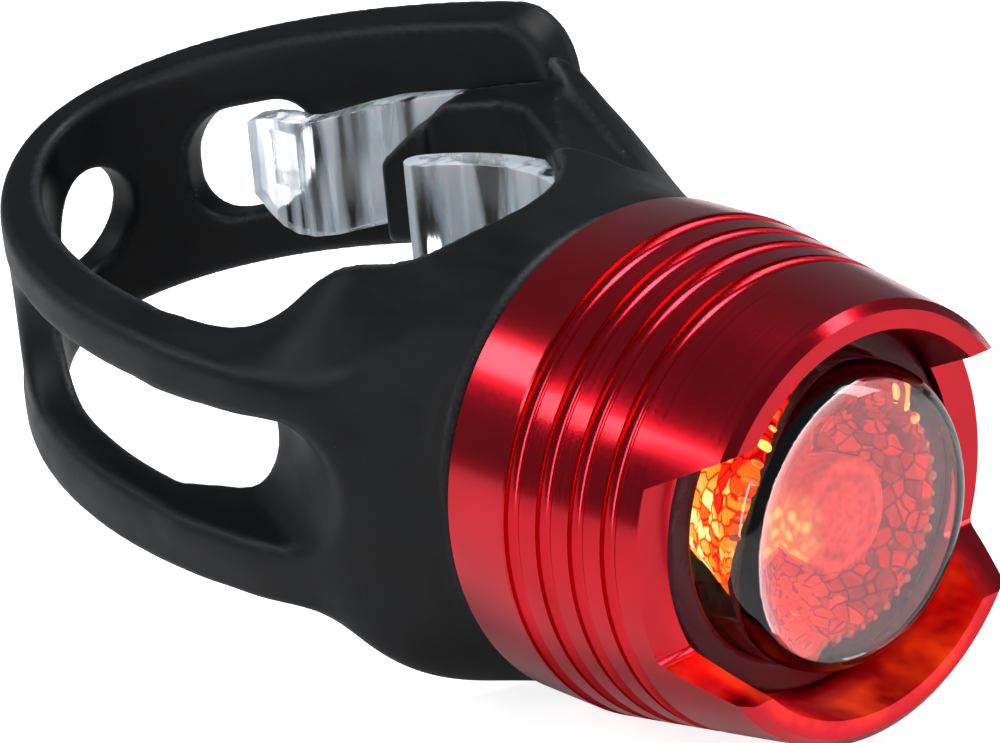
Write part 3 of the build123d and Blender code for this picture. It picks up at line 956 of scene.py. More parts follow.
@dataclass(frozen=True)
class ReliefTree:
    """Geometry Nodes tree that repeats one small form over a mesh.

    A facet stands out by up to the depth and narrows to the share. A bead's radius is up to the depth.
    """

    kind: Relief
    depth: float
    share: float = 1.0
    seed: int = 7
    least: float = 0.55
    bead_levels: int = 2

    def group(self) -> bpy.types.GeometryNodeTree:
        """Builds the node tree with its named inputs.

        Returns:
            The tree.
        """
        tree = bpy.data.node_groups.new(self.kind.value, "GeometryNodeTree")
        sockets = {
            "Geometry": "Geometry",
            "Depth": "Float",
            "Share": "Float",
            "Seed": "Int",
            "Finish": "Material",
        }
        for name, kind in sockets.items():
            tree.interface.new_socket(name, in_out="INPUT", socket_type=f"NodeSocket{kind}")
        tree.interface.new_socket("Geometry", in_out="OUTPUT", socket_type="NodeSocketGeometry")
        nodes, links = tree.nodes, tree.links
        start, end = nodes.new("NodeGroupInput"), nodes.new("NodeGroupOutput")
        jitter = nodes.new("FunctionNodeRandomValue")
        jitter.data_type = "FLOAT"
        limits = [socket for socket in jitter.inputs if socket.type == "VALUE"]
        limits[0].default_value, limits[1].default_value = self.least, 1.0
        links.new(start.outputs["Seed"], jitter.inputs["Seed"])
        amount = nodes.new("ShaderNodeMath")
        amount.operation = "MULTIPLY"
        links.new(start.outputs["Depth"], amount.inputs[0])
        links.new(next(socket for socket in jitter.outputs if socket.type == "VALUE"), amount.inputs[1])
        if self.kind is Relief.CUT_FACETS:
            raised = nodes.new("GeometryNodeExtrudeMesh")
            raised.inputs["Individual"].default_value = True
            links.new(start.outputs["Geometry"], raised.inputs["Mesh"])
            links.new(amount.outputs[0], raised.inputs["Offset Scale"])
            inset = nodes.new("GeometryNodeScaleElements")
            links.new(raised.outputs["Mesh"], inset.inputs["Geometry"])
            links.new(raised.outputs["Top"], inset.inputs["Selection"])
            links.new(start.outputs["Share"], inset.inputs["Scale"])
            made = inset.outputs["Geometry"]
        else:
            bead = nodes.new("GeometryNodeMeshIcoSphere")
            bead.inputs["Radius"].default_value = 1.0
            bead.inputs["Subdivisions"].default_value = self.bead_levels
            spread = nodes.new("GeometryNodeInstanceOnPoints")
            links.new(start.outputs["Geometry"], spread.inputs["Points"])
            links.new(bead.outputs["Mesh"], spread.inputs["Instance"])
            links.new(amount.outputs[0], spread.inputs["Scale"])
            made = spread.outputs["Instances"]
        real = nodes.new("GeometryNodeRealizeInstances")
        links.new(made, real.inputs[0])
        dress = nodes.new("GeometryNodeSetMaterial")
        links.new(real.outputs[0], dress.inputs["Geometry"])
        links.new(start.outputs["Finish"], dress.inputs["Material"])
        links.new(dress.outputs[0], end.inputs[0])
        return tree

    def apply(self, piece: bpy.types.Object, finish: Finish) -> None:
        """Runs the tree on a piece and keeps what it makes as a plain mesh.

        Args:
            piece: Object that carries the forms.
            finish: Finish of what the tree makes.
        """
        modifier = piece.modifiers.new("relief", "NODES")
        modifier.node_group = self.group()
        values = {
            "Depth": self.depth * MM,
            "Share": self.share,
            "Seed": self.seed,
            "Finish": finish.material(),
        }
        for socket in modifier.node_group.interface.items_tree:
            if socket.in_out == "INPUT" and socket.name in values:
                modifier[socket.identifier] = values[socket.name]
        plain_mesh(piece)


@dataclass
class LitOptics:
    """Faceted reflector bowl, the ring of painted glints on its rim, and the pebbled emitter lens.

    Each front is a distance in front of the bezel's rear edge.
    """

    foot_radius: float = 3.9
    mouth_radius: float = 6.9
    foot_front: float = 7.2
    mouth_front: float = 15.2
    foot_gap: float = 0.1
    wall: float = 0.7
    facets_round: int = 28
    facets_deep: int = 6
    facet_depth: float = 0.16
    facet_share: float = 0.55
    glint_radius: float = 6.75
    glint_front: float = 15.25
    glint_size: float = 0.34
    glint_count: int = 44
    pebble_side: tuple[Pair, ...] = ((0.01, 8.0), (1.5, 8.0), (1.6, 9.2), (3.0, 13.4))
    pebble_radius: float = 3.2
    pebble_front: float = 15.6
    pebble_dome: float = 0.5
    dome_steps: int = 8
    pebble_steps: int = 64

    def bowl(self) -> bpy.types.Object:
        """Builds the reflector with its cut facets.

        Returns:
            The bowl.
        """
        fronts = np.linspace(self.foot_front + self.foot_gap, self.mouth_front, self.facets_deep + 1)
        share = (fronts - self.foot_front) / (self.mouth_front - self.foot_front)
        radii = self.foot_radius + (self.mouth_radius - self.foot_radius) * share
        inner = list(zip(radii - self.wall, fronts))
        outer = list(zip(radii[::-1], fronts[::-1]))
        piece = make_object("reflector_bowl", *lathe(inner + outer, self.facets_round), smooth=False)
        tidy_shell(piece)
        ReliefTree(Relief.CUT_FACETS, self.facet_depth, self.facet_share).apply(piece, FACETS)
        return piece

    def glints(self) -> bpy.types.Object:
        """Builds the ring of glowing beads round the reflector's mouth, which stand for painted glints.

        Returns:
            The ring of beads.
        """
        turn = np.linspace(0, math.tau, self.glint_count, endpoint=False)
        across, up = self.glint_radius * np.cos(turn), self.glint_radius * np.sin(turn)
        piece = make_object("reflector_glints", lamp_points(across, self.glint_front, up), [])
        ReliefTree(Relief.BEADS, self.glint_size).apply(piece, GLINTS)
        return piece

    def emitter(self) -> bpy.types.Object:
        """Builds the emitter's clear lens as a tall pebble with a low dome.

        Returns:
            The emitter's lens.
        """
        turn = np.linspace(0, math.pi / 2, self.dome_steps, endpoint=False)
        fronts = self.pebble_front - self.pebble_dome * (1 - np.sin(turn))
        dome = zip(self.pebble_radius * np.cos(turn), fronts)
        profile = [*self.pebble_side, *dome, (self.pebble_side[0][0], self.pebble_front)]
        piece = make_object("emitter_pebble", *lathe(profile, self.pebble_steps))
        tidy_shell(piece)
        EMITTER_LENS.dress(piece)
        return piece

    def build(self) -> None:
        """Builds the lit parts and puts them on the bezel's body."""
        bowl, glints, emitter = self.bowl(), self.glints(), self.emitter()
        for piece, slot in ((bowl, "reflector_metal"), (glints, "reflector_metal"), (emitter, "led_clear")):
            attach(piece, "bezel")
            log.info("optics %s: %d faces", piece.name, len(piece.data.polygons))
        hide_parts("reflector")
        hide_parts("led_lens")


# ---------------------------------------------------------------- clear core


class Joint(Enum):
    """How one solid acts on another."""

    ADD = "UNION"
    CUT = "DIFFERENCE"


def combine(piece: bpy.types.Object, tool: bpy.types.Object, way: Joint) -> None:
    """Adds one solid to another or cuts it out, and removes the tool.

    Args:
        piece: Solid that is changed.
        tool: Solid that acts on it.
        way: What the tool does.
    """
    solid = piece.modifiers.new("combine", "BOOLEAN")
    solid.operation = way.value
    solid.solver = "EXACT"
    solid.object = tool
    plain_mesh(piece)
    bpy.data.objects.remove(tool)


@dataclass(frozen=True)
class Station:
    """One place along the hook's arm, from the bezel's rear centre."""

    side: float
    back: float
    top: float
    height: float


@dataclass
class ClearCore:
    """Clear core with its jaw, and the tall curved arm and barb that the strap hooks on."""

    stations: tuple[Station, ...] = (
        Station(12.3, 22.0, 13.5, 7.0),
        Station(11.6, 25.4, 13.1, 7.3),
        Station(10.7, 27.6, 12.7, 7.4),
        Station(9.5, 29.8, 12.25, 7.4),
        Station(8.3, 31.8, 11.7, 7.4),
        Station(7.3, 33.7, 11.1, 7.4),
        Station(6.85, 35.2, 10.65, 7.3),
        Station(6.75, 36.6, 10.45, 7.2),
        Station(6.9, 38.2, 10.4, 7.0),
        Station(6.75, 39.5, 10.25, 6.2),
        Station(6.3, 40.6, 10.0, 4.7),
    )
    thickness: float = 2.1
    rounding: float = 0.35
    rounding_steps: int = 3
    edge_angle: float = 40.0
    root_box: tuple[Triple, Triple] = ((8.0, 6.0, 10.4), (20.0, 24.0, 24.0))
    cut_box: tuple[Triple, Triple] = ((2.0, 23.5, -5.0), (20.0, 50.0, 22.0))
    barb_place: Triple = (6.9, 38.3, 7.4)
    barb_turn: float = 0.4155
    barb_size: Triple = (5.8, 2.4, 3.4)
    barb_root: float = 0.9

    def box(self, low: Triple, high: Triple) -> bpy.types.Object:
        """Makes a plain box tool.

        Args:
            low: Lowest corner, from the bezel's rear centre with Y to the back.
            high: Highest corner.

        Returns:
            The box.
        """
        corners = [(x, -y, z) for x, y, z in itertools.product(*zip(low, high))]
        points = lamp_points(*np.array(corners, float).T)
        faces = [(0, 1, 3, 2), (4, 6, 7, 5), (0, 4, 5, 1), (2, 3, 7, 6), (0, 2, 6, 4), (1, 5, 7, 3)]
        piece = make_object("box_tool", points, faces, smooth=False)
        tidy_shell(piece)
        return piece

    def arm(self) -> bpy.types.Object:
        """Makes the arm as a strip that follows its stations.

        Returns:
            The arm, a tool that is added to the core.
        """
        line = np.array([(station.side, station.back) for station in self.stations])
        run = np.gradient(line, axis=0)
        run /= np.linalg.norm(run, axis=1)[:, None]
        aside = np.stack([run[:, 1], -run[:, 0]], axis=1) * self.thickness / 2
        tops = np.array([station.top for station in self.stations])
        lows = tops - np.array([station.height for station in self.stations])
        rows = []
        for sign, height in ((1, tops), (-1, tops), (-1, lows), (1, lows)):
            place = line + sign * aside
            rows.append(lamp_points(place[:, 0], -place[:, 1], height))
        points = np.stack(rows, axis=1).reshape(-1, 3)
        last = 4 * (len(line) - 1)
        faces = [
            (4 * i + k, 4 * i + (k + 1) % 4, 4 * i + 4 + (k + 1) % 4, 4 * i + 4 + k)
            for i, k in itertools.product(range(len(line) - 1), range(4))
        ]
        faces += [(0, 1, 2, 3), (last, last + 3, last + 2, last + 1)]
        piece = make_object("arm_tool", points, faces)
        tidy_shell(piece)
        return piece

    def barb(self) -> bpy.types.Object:
        """Makes the barb that goes through the strap's far hole.

        Returns:
            The barb, a tool that is added to the core.
        """
        side, back, height = self.barb_place
        long, wide, tall = self.barb_size
        piece = self.box((-self.barb_root, -wide / 2, -tall / 2), (long, wide / 2, tall / 2))
        centre = Vector((AXIS_SIDE, REAR_Y, 0)) * MM
        turn = Matrix.Rotation(self.barb_turn, 4, "Z")
        move = Matrix.Translation(Vector((side + AXIS_SIDE, back + REAR_Y, height)) * MM)
        piece.data.transform(move @ turn @ Matrix.Translation(-centre))
        return piece

    def build(self) -> bpy.types.Object:
        """Builds the core from the CAD's own mesh, with the photograph's arm.

        Returns:
            The finished core.
        """
        piece = copy_of_node("clear_core", "clear_core_skin")
        combine(piece, self.box(*self.cut_box), Joint.CUT)
        combine(piece, self.box(*self.root_box), Joint.CUT)
        combine(piece, self.arm(), Joint.ADD)
        combine(piece, self.barb(), Joint.ADD)
        tidy_shell(piece)
        round_edges(piece, self.rounding, self.rounding_steps, self.edge_angle)
        plain_mesh(piece)
        shade_smooth(piece, self.edge_angle)
        CLEAR_PLASTIC.dress(piece)
        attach(piece, "holder")
        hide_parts("clear_core")
        return piece


# ---------------------------------------------------------------- silicone


@dataclass(frozen=True)
class Grid:
    """Even grid over the silicone, in millimetres from the bezel's rear centre, with Y to the back."""

    low: Triple = (-17.2, -0.6, -15.4)
    high: Triple = (17.2, 52.6, 20.2)
    pitch: float = 0.23

    def axes(self) -> tuple[np.ndarray, np.ndarray, np.ndarray]:
        """The grid's three axes, shaped so that they spread over one another."""
        x, y, z = (np.arange(a, b, self.pitch) for a, b in zip(self.low, self.high))
        return x[:, None, None], y[None, :, None], z[None, None, :]


def soft_union(first: np.ndarray, second: np.ndarray, reach: float) -> np.ndarray:
    """Joins two distance fields with a fillet.

    Args:
        first: Signed distance, negative inside.
        second: The other distance.
        reach: Width over which they blend, in millimetres.

    Returns:
        Distance of the joined shape.
    """
    share = np.clip(0.5 + 0.5 * (second - first) / reach, 0, 1)
    return second + (first - second) * share - reach * share * (1 - share)


def soft_cut(body: np.ndarray, tool: np.ndarray, reach: float) -> np.ndarray:
    """Cuts a tool out of a body and rounds the new edge.

    Args:
        body: Signed distance of the body.
        tool: Signed distance of what is cut out.
        reach: Width of the rounding in millimetres.

    Returns:
        Distance of what is left.
    """
    return -soft_union(-body, tool, reach)


def rounded_box(first: np.ndarray, second: np.ndarray, radius: float) -> np.ndarray:
    """Joins two slab distances into a bar whose long edges are rounded.

    Args:
        first: Signed distance to the first pair of sides.
        second: Signed distance to the second pair.
        radius: Rounding in millimetres.

    Returns:
        Signed distance of the bar.
    """
    across, along = first + radius, second + radius
    outside = np.hypot(np.maximum(across, 0), np.maximum(along, 0))
    return outside + np.minimum(np.maximum(across, along), 0) - radius


def ease(value: np.ndarray) -> np.ndarray:
    """Smooth step from 0 to 1 over the same range."""
    held = np.clip(value, 0, 1)
    return held * held * (3 - 2 * held)


def polygon_distance(x: np.ndarray, y: np.ndarray, corners: tuple[Pair, ...]) -> np.ndarray:
    """Signed distance in plan to a closed polygon, negative inside.

    Args:
        x: Places across.
        y: Places along.
        corners: The polygon's corners in order.

    Returns:
        Distance at each place.
    """
    x, y = np.broadcast_arrays(x, y)
    nearest = np.full(x.shape, FAR_AWAY)
    inside = np.zeros(x.shape, bool)
    for (ax, ay), (bx, by) in zip(corners, corners[1:] + corners[:1]):
        ex, ey = bx - ax, by - ay
        share = np.clip(((x - ax) * ex + (y - ay) * ey) / (ex * ex + ey * ey), 0, 1)
        nearest = np.minimum(nearest, np.hypot(x - ax - share * ex, y - ay - share * ey))
        crosses = (ay > y) != (by > y)
        with np.errstate(divide="ignore", invalid="ignore"):
            meets = x < (bx - ax) * (y - ay) / (by - ay) + ax
        inside ^= crosses & meets
    return np.where(inside, -nearest, nearest)


def surface_net(values: np.ndarray, grid: Grid) -> tuple[np.ndarray, np.ndarray]:
    """Wraps the zero level of a field in quads, one point in each cell that it crosses.

    Args:
        values: Field on the grid, negative inside.
        grid: The grid.

    Returns:
        Points in the grid's own millimetres, and the corner indices of each quad.
    """
    inside = values < 0
    cells = tuple(n - 1 for n in values.shape)
    count = np.zeros(cells, np.int8)
    for i, j, k in itertools.product((0, 1), repeat=3):
        count += inside[i : i + cells[0], j : j + cells[1], k : k + cells[2]]
    mixed = (count > 0) & (count < 8)
    index = np.full(cells, -1, np.int64)
    index[mixed] = np.arange(int(mixed.sum()))
    base = np.argwhere(mixed)
    total = np.zeros((len(base), 3))
    hits = np.zeros(len(base))
    for axis in range(3):
        step = np.eye(3, dtype=int)[axis]
        left, right = (a for a in range(3) if a != axis)
        for p, q in itertools.product((0, 1), repeat=2):
            start = base.copy()
            start[:, left] += p
            start[:, right] += q
            near = values[tuple(start.T)]
            far = values[tuple((start + step).T)]
            crosses = (near < 0) != (far < 0)
            share = near[crosses] / (near[crosses] - far[crosses])
            total[crosses] += start[crosses] + step * share[:, None]
            hits[crosses] += 1
    points = np.array(grid.low) + grid.pitch * total / hits[:, None]
    quads = []
    for axis in range(3):
        across, up = (axis + 1) % 3, (axis + 2) % 3
        lower = np.take(inside, range(values.shape[axis] - 1), axis)
        upper = np.take(inside, range(1, values.shape[axis]), axis)
        edge = np.argwhere(lower != upper)
        fits = np.ones(len(edge), bool)
        for other in (across, up):
            fits &= (edge[:, other] >= 1) & (edge[:, other] < cells[other])
        edge = edge[fits]
        one, two = np.eye(3, dtype=int)[across], np.eye(3, dtype=int)[up]
        ring = [index[tuple((edge - shift).T)] for shift in (0 * one, one, one + two, two)]
        quad = np.stack(ring, axis=1)
        outward = lower[tuple(edge.T)]
        quad[~outward] = quad[~outward][:, ::-1]
        quads.append(quad)
    return points, np.concatenate(quads)


@dataclass(frozen=True)
class Section:
    """One cross-section of the cup and flanks, a lopsided rounded shape with its own tilt."""

    back: float
    half_width: float
    top: float
    bottom: float
    top_power: float
    near_power: float
    bottom_power: float
    slope: float
    lift: float


@dataclass(frozen=True)
class Facet:
    """Where the sloping top of the near flank lies at one distance behind the bezel."""

    back: float
    side: float
    height: float
    slope: float


@dataclass
class SiliconeBody:
    """Silicone cup, flanks, strap loop and tail, worked out as distance fields and wrapped in skins.

    Places are millimetres from the bezel's rear centre: X across, Y to the back, Z up.
    """

    grid: Grid = Grid()
    sections: tuple[Section, ...] = (
        Section(0.0, 13.4, 13.4, 13.4, 2.0, 2.0, 2.0, 0.00, 0.0),
        Section(3.0, 14.3, 13.3, 13.1, 2.0, 2.15, 2.7, 0.03, 0.2),
        Section(6.0, 15.1, 12.6, 13.0, 1.95, 2.45, 4.0, 0.06, 0.75),
        Section(9.0, 15.6, 12.3, 12.0, 1.7, 3.2, 3.7, 0.11, 1.9),
        Section(12.0, 15.7, 11.4, 10.6, 1.75, 4.2, 4.2, 0.20, 3.2),
        Section(15.0, 15.6, 9.0, 8.8, 2.0, 7.0, 5.0, 0.33, 4.1),
        Section(18.0, 15.4, 7.4, 7.2, 2.6, 8.0, 5.5, 0.385, 4.8),
        Section(22.0, 15.2, 7.0, 7.0, 6.0, 7.0, 6.0, 0.412, 5.2),
        Section(28.0, 14.3, 7.0, 7.0, 6.0, 6.0, 6.0, 0.412, 4.8),
    )
    facets: tuple[Facet, ...] = (
        Facet(0.0, -8.0, 11.8, 0.50),
        Facet(2.0, -9.3, 10.6, 0.50),
        Facet(5.0, -10.8, 9.3, 0.62),
        Facet(7.5, -13.0, 7.9, 0.75),
        Facet(10.5, -14.7, 6.7, 1.06),
        Facet(12.5, -15.1, 6.5, 0.92),
        Facet(14.9, -15.4, 6.3, 0.52),
        Facet(16.4, -15.5, 6.2, 0.30),
        Facet(19.0, -15.6, 6.15, 0.08),
        Facet(22.0, -15.5, 6.15, 0.05),
        Facet(25.5, -15.2, 6.5, 0.28),
        Facet(29.0, -14.8, 7.9, 0.42),
    )
    cup_radius: float = 13.4
    cup_front: float = 0.22
    cup_rim: float = 0.35
    section_blend: float = 2.0
    section_taps: int = 9
    facet_blend: float = 1.2
    facet_taps: int = 7
    facet_edge: float = 0.5

    half_width: float = 15.6
    loop_depth: float = 35.2
    loop_back: float = 16.1
    loop_power: float = 1.89
    loop_start: float = 2.0
    loop_steps: int = 240
    skew: float = 0.05
    skew_start: float = 10.0
    band: float = 2.73
    band_height: float = 13.1
    rim_round: float = 0.6
    step_depth: float = 0.16
    step_width: float = 2.3
    step_run: float = 0.4
    front_thinning: float = 0.03
    side_slope: float = 0.412
    back_slope: float = -0.04
    middle_lift: float = 6.3
    strap_blend: float = 1.2

    tail_end: float = 19.0
    tail_round: float = 4.5
    tail_gap: float = 0.12
    tail_end_gap: float = 0.1
    tail_pocket: float = 7.2
    seam: float = 26.5
    seam_under: float = 4.8
    saddle_side: float = -2.5
    saddle_back: float = 13.6
    opening: tuple[Pair, ...] = (
        (-10.1, 13.6),
        (-11.5, 18.5),
        (-12.8, 24.0),
        (-15.0, 30.0),
        (-15.0, 60.0),
        (15.0, 60.0),
        (15.0, 34.0),
        (7.3, 32.0),
        (8.7, 27.0),
        (9.3, 21.0),
        (8.9, 18.4),
        (6.3, 13.2),
        (3.2, 8.2),
    )
    opening_edge: float = 0.5
    strip: tuple[Pair, ...] = (
        (14.0, 27.0),
        (12.3, 19.5),
        (10.9, 14.4),
        (10.2, 11.9),
        (9.9, 9.8),
        (9.2, 8.5),
        (8.3, 8.4),
        (7.5, 9.3),
        (5.6, 10.3),
        (2.0, 11.0),
        (2.0, 27.0),
    )
    strip_lift: float = 12.6
    strip_fall: float = -0.154
    strip_recess: float = 0.45
    sleeve_end: float = 25.6
    sleeve_slant: float = 1.1
    sleeve_level: float = 13.0
    sleeve_drop: float = 4.5
    sleeve_lean: float = 0.7
    flank_fade: Triple = (22.0, 7.0, 1.8)
    core_radius: float = 12.25
    core_depth: float = 3.7
    slot_front: float = 7.7
    slot_front_flare: float = 2.4
    slot_rear: float = 44.4
    slot_rear_flare: float = 1.3
    slot_height: float = 7.4
    slot_lift: float = 0.35
    slot_flare: float = 0.12
    slot_reach: float = 5.0
    slot_end_stretch: float = 0.8
    slot_lean: float = 0.9
    slot_edge: float = 0.7
    hole_edge: float = 0.45
    back_hole: Pair = (-1.47, 48.5)
    back_hole_size: Pair = (5.3, 6.1)
    back_hole_reach: float = 8.0
    far_hole: Triple = (6.81, 41.38, 7.15)
    far_hole_run: Pair = (-0.4036, 0.915)
    far_hole_size: Triple = (9.0, 6.8, 3.0)
    far_hole_lean: float = 0.98
    far_hole_reach: float = 6.0
    def __post_init__(self) -> None:
        """Works out the grid's axes, the band's middle plane and the way to the loop's wall."""
        self.x, self.y, self.z = self.grid.axes()
        self.lean = 1 / math.sqrt(1 + self.side_slope**2 + self.back_slope**2)
        self.rise = (self.z - self.middle(self.x, self.y)) * self.lean
        self.outward = self.wall()[:, :, None]

    def middle(self, x: np.ndarray, y: np.ndarray) -> np.ndarray:
        """Height of the strap's middle plane.

        Args:
            x: Places across.
            y: Places to the back.

        Returns:
            Height at each place.
        """
        return self.middle_lift + self.side_slope * x + self.back_slope * y

    def wall(self) -> np.ndarray:
        """Distance in plan from the middle of the strap's wall, positive outside the loop.

        Returns:
            Distance at each place of the grid's plan.
        """
        turn = np.linspace(0, math.pi, self.loop_steps + 1)
        share = 2 / self.loop_power
        half = self.half_width - self.band / 2
        across = -np.sign(np.cos(turn)) * half * np.abs(np.cos(turn)) ** share
        back = self.loop_back + (self.loop_depth - self.band / 2) * np.sin(turn) ** share
        front = np.linspace(self.loop_start, self.loop_back, 8, endpoint=False)
        across = np.concatenate([np.full(8, -half), across, np.full(8, half)])
        back = np.concatenate([front, back, front[::-1]])
        across -= self.skew * (back - self.skew_start)
        px, py = np.meshgrid(self.x.ravel(), self.y.ravel(), indexing="ij")
        best = np.full(px.shape, FAR_AWAY)
        side = np.zeros(px.shape)
        for ax, ay, bx, by in zip(across[:-1], back[:-1], across[1:], back[1:]):
            ex, ey = bx - ax, by - ay
            along = np.clip(((px - ax) * ex + (py - ay) * ey) / (ex * ex + ey * ey), 0, 1)
            dx, dy = px - ax - along * ex, py - ay - along * ey
            gap = np.hypot(dx, dy)
            nearer = gap < best
            best = np.where(nearer, gap, best)
            side = np.where(nearer, np.sign(ex * dy - ey * dx), side)
        return best * side

    def columns(self, rows: Sequence, reach: float, taps: int) -> list[np.ndarray]:
        """Spreads a table over the grid's Y axis, averaged so that it changes smoothly.

        Args:
            rows: Sections or facets, in order from the bezel to the back.
            reach: Half the length over which each value is averaged.
            taps: Number of places that are averaged.

        Returns:
            Each of the table's columns after the first.
        """
        table = np.array([list(vars(row).values()) for row in rows])
        places = self.y + np.linspace(-reach, reach, taps)
        return [np.interp(places, table[:, 0], column).mean(-1)[:, :, None] for column in table.T[1:]]

    def band_field(self) -> np.ndarray:
        """Distance field of the strap's loop and its tail, before its holes are cut.

        Returns:
            Signed distance, negative inside.
        """
        height = np.abs(self.rise) - self.band_height / 2
        ended = rounded_box(self.tail_end - self.y, height, self.tail_round)
        height = np.where(self.x > 0, ended, height)
        recess = self.step_depth * ease((-height - self.step_width) / self.step_run) * (self.outward > 0)
        thinner = self.front_thinning * np.maximum(self.loop_back - self.y, 0) ** 2
        across = np.abs(self.outward) - self.band / 2 + recess + np.where(self.x < 0, thinner, 0)
        return rounded_box(across, height, self.rim_round)

    def flank_field(self) -> np.ndarray:
        """Distance field of the cup and the two flanks, before anything is cut from them.

        Returns:
            Signed distance, negative inside.
        """
        width, top, bottom, top_power, near_power, bottom_power, slope, lift = self.columns(
            self.sections, self.section_blend, self.section_taps
        )
        meet = ease(self.y / self.section_blend)
        width, top, bottom = (
            self.cup_radius + (size - self.cup_radius) * meet for size in (width, top, bottom)
        )
        slope, lift = slope * meet, lift * meet
        across = self.x + self.skew * np.maximum(self.y - self.skew_start, 0)
        rise = self.z - lift - slope * across
        power = np.where(rise > 0, np.where(across < 0, near_power, top_power), bottom_power)
        tall = np.where(rise > 0, top, bottom)
        shape = ((np.abs(across) / width) ** power + (np.abs(rise) / tall) ** power) ** (1 / power)
        body = np.hypot(across, rise) * (1 - 1 / np.maximum(shape, 1e-6))
        return rounded_box(body, self.cup_front - self.y, self.cup_rim)

    def slot_field(self) -> np.ndarray:
        """Distance field of the long slot in the near side, whose ends flare outwards.

        Returns:
            Signed distance, negative inside.
        """
        depth = np.clip(self.band / 2 + self.outward * -1, 0, self.slot_reach)
        front = self.slot_front + self.slot_front_flare * depth
        rear = self.slot_rear - self.slot_rear_flare * depth
        radius = self.slot_height / 2
        rise = self.rise / self.lean - self.slot_lift + self.slot_flare * depth
        past = np.maximum(np.maximum(front + radius - self.y, self.y - rear + radius), 0)
        ends = np.hypot(past * self.slot_end_stretch, rise) - radius
        return np.maximum(ends, self.x + self.slot_reach) * self.slot_lean

    def top_facet(self) -> np.ndarray:
        """Distance above the sloping top of the near flank."""
        side, height, slope = self.columns(self.facets, self.facet_blend, self.facet_taps)
        return (self.z - height - slope * (self.x - side)) / np.sqrt(1 + slope**2)

    def hole_fields(self) -> np.ndarray:
        """Distance field of the oval hole at the back and the hole that goes over the hook.

        Returns:
            Signed distance, negative inside.
        """
        side, back = self.back_hole
        rise = self.z - self.middle(side, back) - self.side_slope * (self.x - side)
        wide, tall = (size / 2 for size in self.back_hole_size)
        oval = (np.hypot((self.x - side) / wide, rise / tall) - 1) * wide
        oval = np.maximum(oval, back - self.back_hole_reach - self.y)
        hx, hy, hz = self.far_hole
        rx, ry = self.far_hole_run
        along = (self.x - hx) * rx + (self.y - hy) * ry
        through = (self.x - hx) * ry - (self.y - hy) * rx
        slope = self.side_slope * rx + self.back_slope * ry
        rise = (self.z - hz - along * slope) * self.far_hole_lean
        length, height, corner = self.far_hole_size
        window = rounded_box(np.abs(along) - length / 2, np.abs(rise) - height / 2, corner)
        return np.minimum(oval, np.maximum(window, np.abs(through) - self.far_hole_reach))

    def in_plan(self, corners: tuple[Pair, ...]) -> np.ndarray:
        """Distance to a polygon that goes straight up and down through the grid."""
        return polygon_distance(self.x[:, :, 0], self.y[:, :, 0], corners)[:, :, None]

    def hollowed(self, flank: np.ndarray) -> np.ndarray:
        """Cuts the tube's saddle, the inside of the loop and the core's seat out of the flanks.

        Args:
            flank: Distance field of the cup and flanks.

        Returns:
            The field that is left.
        """
        saddle = np.hypot(self.x - self.saddle_side, self.y - self.saddle_back) - SADDLE_RADIUS
        flank = soft_cut(flank, np.minimum(saddle, self.in_plan(self.opening)), self.opening_edge)
        cavity = np.maximum(np.hypot(self.x, self.z) - self.core_radius, self.y - self.core_depth)
        return np.maximum(flank, -cavity)

    def far_side(self, flank: np.ndarray) -> np.ndarray:
        """Sinks the clear arm's strip into the far flank and leaves room for the strap's tail.

        Args:
            flank: Distance field of the hollowed flanks.

        Returns:
            The far side's field.
        """
        strip_top = self.strip_lift + self.side_slope * self.x + self.strip_fall * self.y
        kept = np.maximum(flank + self.strip_recess, (self.z - strip_top) * self.lean)
        lowered = np.minimum(np.minimum(-self.in_plan(self.strip), kept), self.rise)
        far = np.maximum(flank, lowered)
        tail_end = self.tail_end + self.tail_end_gap - self.y
        tail = rounded_box(tail_end, np.abs(self.rise) - self.tail_pocket, self.tail_round)
        far = np.maximum(far, np.minimum(self.outward + self.band / 2 + self.tail_gap, -tail))
        slant = self.sleeve_slant * np.clip(self.sleeve_level - self.z, 0, self.sleeve_drop)
        far = np.maximum(far, (self.y - self.sleeve_end - slant) * self.sleeve_lean)
        return np.maximum(far, np.minimum(self.y - self.seam, -self.rise - self.seam_under))

    def near_side(self, flank: np.ndarray, band: np.ndarray) -> np.ndarray:
        """Runs the near flank into the strap and cuts its sloping top and the long slot.

        Args:
            flank: Distance field of the hollowed flanks.
            band: Distance field of the loop.

        Returns:
            The near side's field.
        """
        start, length, depth = self.flank_fade
        near = soft_union(flank + depth * ease((self.y - start) / length), band, self.strap_blend)
        near = soft_cut(near, -self.top_facet(), self.facet_edge)
        return soft_cut(near, self.slot_field(), self.slot_edge)

    def fields(self) -> tuple[np.ndarray, np.ndarray]:
        """Distance fields of the holder and of the loop.

        Returns:
            The holder's field and the loop's field.
        """
        flank, band = self.hollowed(self.flank_field()), self.band_field()
        near, far = self.near_side(flank, band), self.far_side(flank)
        loop = soft_cut(np.where(self.x < 0, near, band), self.hole_fields(), self.hole_edge)
        return np.where(self.x < 0, near, far), loop

    def build(self) -> dict[str, bpy.types.Object]:
        """Wraps the fields in two skins that meet at a seam on the near side.

        Returns:
            The holder's skin and the loop's skin.
        """
        holder_field, loop_field = (soften(field) for field in self.fields())
        holder = wrap("silicone_holder_skin", holder_field, self.grid)
        loop = wrap("silicone_loop_skin", loop_field, self.grid)
        seam = Vector((0, (REAR_Y + self.seam) * MM, 0))
        for piece, normal in ((holder, Vector((0, 1, 0))), (loop, Vector((0, -1, 0)))):
            mark_edges(piece)
            trim(piece, seam, normal, lambda place: place.x < AXIS_SIDE * MM)
            BLACK_SILICONE.dress(piece)
        return {"holder": holder, "loop": loop}


